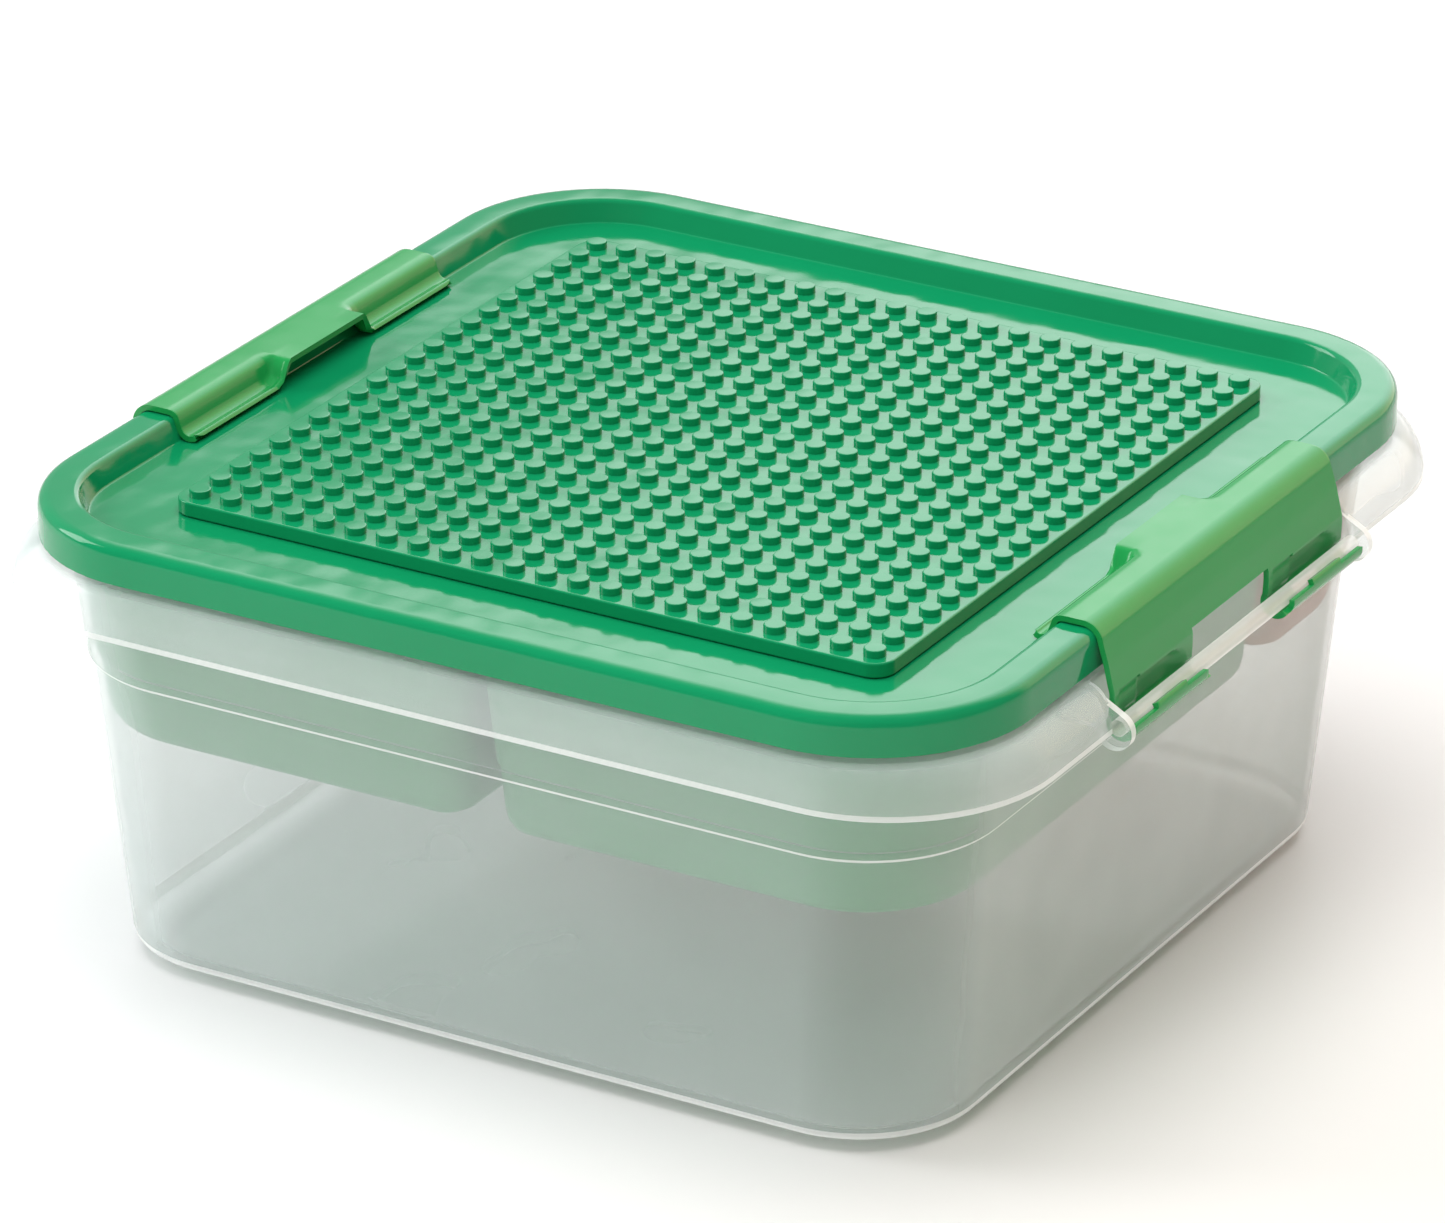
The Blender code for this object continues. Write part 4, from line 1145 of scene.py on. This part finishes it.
def is_open(kind, value, y):
    """True where the real latch has no plastic: its middle cut-out, the open backs and the lower lips."""
    y = abs(y)
    if kind == "panel":
        return y < CUTOUT_HALF and value < RIM_TOP - CUTOUT_DROP
    if kind == "clip":
        if y < CUTOUT_HALF:
            return True
        if FINGER_START < y < FINGER_END:
            return POCKET_FOOT < value < BACK_ANGLE
        return value > (TIP_ANGLE if y < TIP_END else LOW_LIP_ANGLE)
    return False


print("pockets", [round(depth / MM, 1) for depth in POCKET_DEPTHS], "mm deep")

# %% Sheet of a latch
def latch_stations():
    """The places along y that the latch's edges and openings need."""
    marks = {0, TAB_HALF / 2, CUTOUT_HALF, TIP_END, FINGER_START, FINGER_END}
    marks |= {TAB_HALF + TAB_FLARE * share for share in (0, 0.25, 0.5, 0.75)}
    marks |= {LATCH_HALF - HOOK_ROUND * share for share in (0, 0.15, 0.35, 0.6, 1)}
    stations = {side * mark for mark in marks for side in (-1, 1)}
    for start in POCKET_STARTS:
        stations |= {start, start + POCKET_RAMP, start + POCKET_SPLIT - POCKET_RAMP, start + POCKET_SPLIT}
        fades = np.linspace(POCKET_FADE, POCKET_LENGTH, FADE_STATIONS)
        stations |= {start + float(fade) for fade in fades}
    ordered = sorted(stations)
    kept = [ordered[0]]
    for mark in ordered[1:]:
        if mark - kept[-1] > SMALL_ROUND / 2:
            kept.append(mark)
    return kept


def latch_sheet(name):
    """The right latch as an open sheet, before it has a wall."""
    shape = bmesh.new()
    flat, hooked = latch_line(0), latch_line(1)
    rows = []
    for y in latch_stations():
        bent = min(max((abs(y) - TAB_HALF) / TAB_FLARE, 0), 1)
        bent = bent * bent * (3 - 2 * bent)
        row = []
        travelled = 0
        for index, ((x0, z0, _), (x1, z1, (kind, value))) in enumerate(zip(flat, hooked)):
            x, z = x0 + (x1 - x0) * bent, z0 + (z1 - z0) * bent
            if index:
                travelled += math.hypot(x - row[-1].co.x, z - row[-1].co.z)
            end = abs(y)
            start = LATCH_HALF - HOOK_ROUND
            if end > start and travelled < HOOK_ROUND:
                reach = math.sqrt(HOOK_ROUND ** 2 - (HOOK_ROUND - travelled) ** 2)
                end = start + (end - start) * reach / HOOK_ROUND
            if kind == "panel":
                x -= pocket_depth(y, z)
            if kind == "clip":
                x -= pocket_depth(y, z) * max((POCKET_FOOT - value) / (POCKET_FOOT - HEEL_ANGLE), 0)
            row.append(shape.verts.new((x, math.copysign(end, y), z)))
        rows.append((y, row))
    for (near_y, near), (far_y, far) in zip(rows, rows[1:]):
        for index in range(len(hooked) - 1):
            kind, value = hooked[index + 1][2]
            if hooked[index][2][0] == kind:
                value = (hooked[index][2][1] + value) / 2
            if not is_open(kind, value, (near_y + far_y) / 2):
                shape.faces.new((near[index], near[index + 1], far[index + 1], far[index]))
    loose = [vert for vert in shape.verts if not vert.link_faces]
    bmesh.ops.delete(shape, geom=loose, context="VERTS")
    bmesh.ops.remove_doubles(shape, verts=shape.verts, dist=SHEET_WELD)
    return as_object(shape, name)


print("a latch's sheet has", len(latch_stations()), "stations along y")

# %% Latches
def make_latch(name, side, body, node):
    """A latch with its wall and rounded edges, turned over for the left side."""
    latch = latch_sheet(name)
    wall = latch.modifiers.new("wall", "SOLIDIFY")
    wall.thickness = LATCH_WALL
    wall.offset = -1
    wall.use_even_offset = True
    edges = latch.modifiers.new("edges", "BEVEL")
    edges.width = LATCH_EDGE
    edges.segments = 2
    edges.limit_method = "ANGLE"
    edges.angle_limit = math.radians(LATCH_EDGE_ANGLE)
    settle(latch)
    if side < 0:
        shape = bmesh.new()
        shape.from_mesh(latch.data)
        shape.transform(Matrix.Diagonal((-1, 1, 1, 1)))
        bmesh.ops.recalc_face_normals(shape, faces=shape.faces)
        shape.to_mesh(latch.data)
        shape.free()
    place(latch, body, node, "green_latch", (latch_green,))


make_latch("left_snap_latch", -1, "left_latch", "latch_left")
make_latch("right_snap_latch", 1, "right_latch", "latch_right")

# %% [markdown]
# Three trays hang on the ledge inside the tub. A tray follows the tub's wall where it meets it and has
# smaller corners where it meets its neighbours, so each side of its level is worked out by itself. The
# bottom edge has a wide rounding, and the front two have a lip towards their neighbours.

# %% Sizes of the trays
TRAY_WALL = 1.5 * MM
TRAY_FLOOR = 1.6 * MM
TRAY_GAP = 0.4 * MM
TRAY_SPACE = 2.6 * MM
TRAY_DRAFT = 3.0 * MM
TRAY_CORNER = 8.0 * MM
TRAY_FILLET = 5.5 * MM
TRAY_RIM = 1.2 * MM
TRAY_SIDE_LIP = 0.8 * MM
TRAY_REST_LIP = 3.6 * MM
TRAY_PLAY = 0.3 * MM
TRAY_SEAT = LEDGE_TOP + TRAY_PLAY
BACK_ROW_Y = 52.0 * MM
print("the trays' step lies", round(TRAY_SEAT / MM, 1), "mm above the table")

# %% Trays
def tray_level(spans, rim, bottom, z, inset=0.0, above_ledge=True, lips=(0.0, 0.0)):
    """A level of a tray. A span's end is None where the tray follows the tub's wall."""
    wall_inset, wall_corner = inner_wall(z, above_ledge)
    draft = TRAY_DRAFT * (rim - z) / (rim - bottom)
    ends = []
    for (low, high), band, lip in zip(spans, (BAND_X, BAND_Y), lips):
        wall = band - wall_inset - TRAY_GAP
        low_end = -wall if low is None else low + TRAY_SPACE / 2 + draft - lip
        high_end = wall if high is None else high - TRAY_SPACE / 2 - draft + lip
        ends.append((low_end + inset, high_end - inset))
    radii = []
    for x_end, y_end in ((1, 0), (1, 1), (0, 1), (0, 0)):
        in_corner = spans[0][x_end] is None and spans[1][y_end] is None
        radii.append((wall_corner - TRAY_GAP if in_corner else TRAY_CORNER) - inset)
    return np.array([ends[0][0], ends[1][0], ends[0][1], ends[1][1], *radii, z])


def make_tray(name, node, body, spans, lips, slot_name, material):
    """A tray lofted up its outside, over its lip and down its inside."""
    low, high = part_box(node)
    bottom, rim = low.z, high.z
    wall_top = rim - TRAY_RIM
    step_z = TRAY_SEAT + TRAY_WALL
    floor_z = bottom + TRAY_FLOOR
    middle = TRAY_FILLET * 2

    def at(*details):
        """A level of this tray."""
        return tray_level(spans, rim, bottom, *details)

    corners = [
        (at(bottom, middle, False), 0, 0),
        (at(bottom, 0, False), TRAY_FILLET, 0),
        (at(TRAY_SEAT, 0, False), SMALL_ROUND, 0),
        (at(TRAY_SEAT), SMALL_ROUND, 0),
    ]
    if any(lips):
        corners.append((at(wall_top), SMALL_ROUND, 0))
        corners.append((at(wall_top, 0, True, lips), SMALL_ROUND, 0))
    corners += [
        (at(rim, 0, True, lips), SMALL_ROUND, 0),
        (at(rim, TRAY_WALL), SMALL_ROUND, 0),
        (at(step_z, TRAY_WALL), SMALL_ROUND, 0),
        (at(step_z - LEDGE_STEP / 2, TRAY_WALL, False), SMALL_ROUND, 0),
        (at(floor_z, TRAY_WALL, False), TRAY_FILLET - TRAY_WALL, 0),
        (at(floor_z, middle, False), 0, 0),
    ]
    tray = loft(name, *rounded_section(corners))
    place(tray, body, node, slot_name, (material,))


front_lips = (TRAY_SIDE_LIP, TRAY_REST_LIP)
for word, x_span in (("left", (None, 0)), ("right", (0, None))):
    make_tray(
        "front_%s_tray" % word, "tray_front_%s" % word, "front_%s_tray" % word,
        (x_span, (None, BACK_ROW_Y)), front_lips, "milky_green_tray", tray_green,
    )
make_tray(
    "back_tray", "tray_back", "back_tray",
    ((None, None), (BACK_ROW_Y, None)), (0.0, 0.0), "milky_salmon_tray", tray_salmon,
)
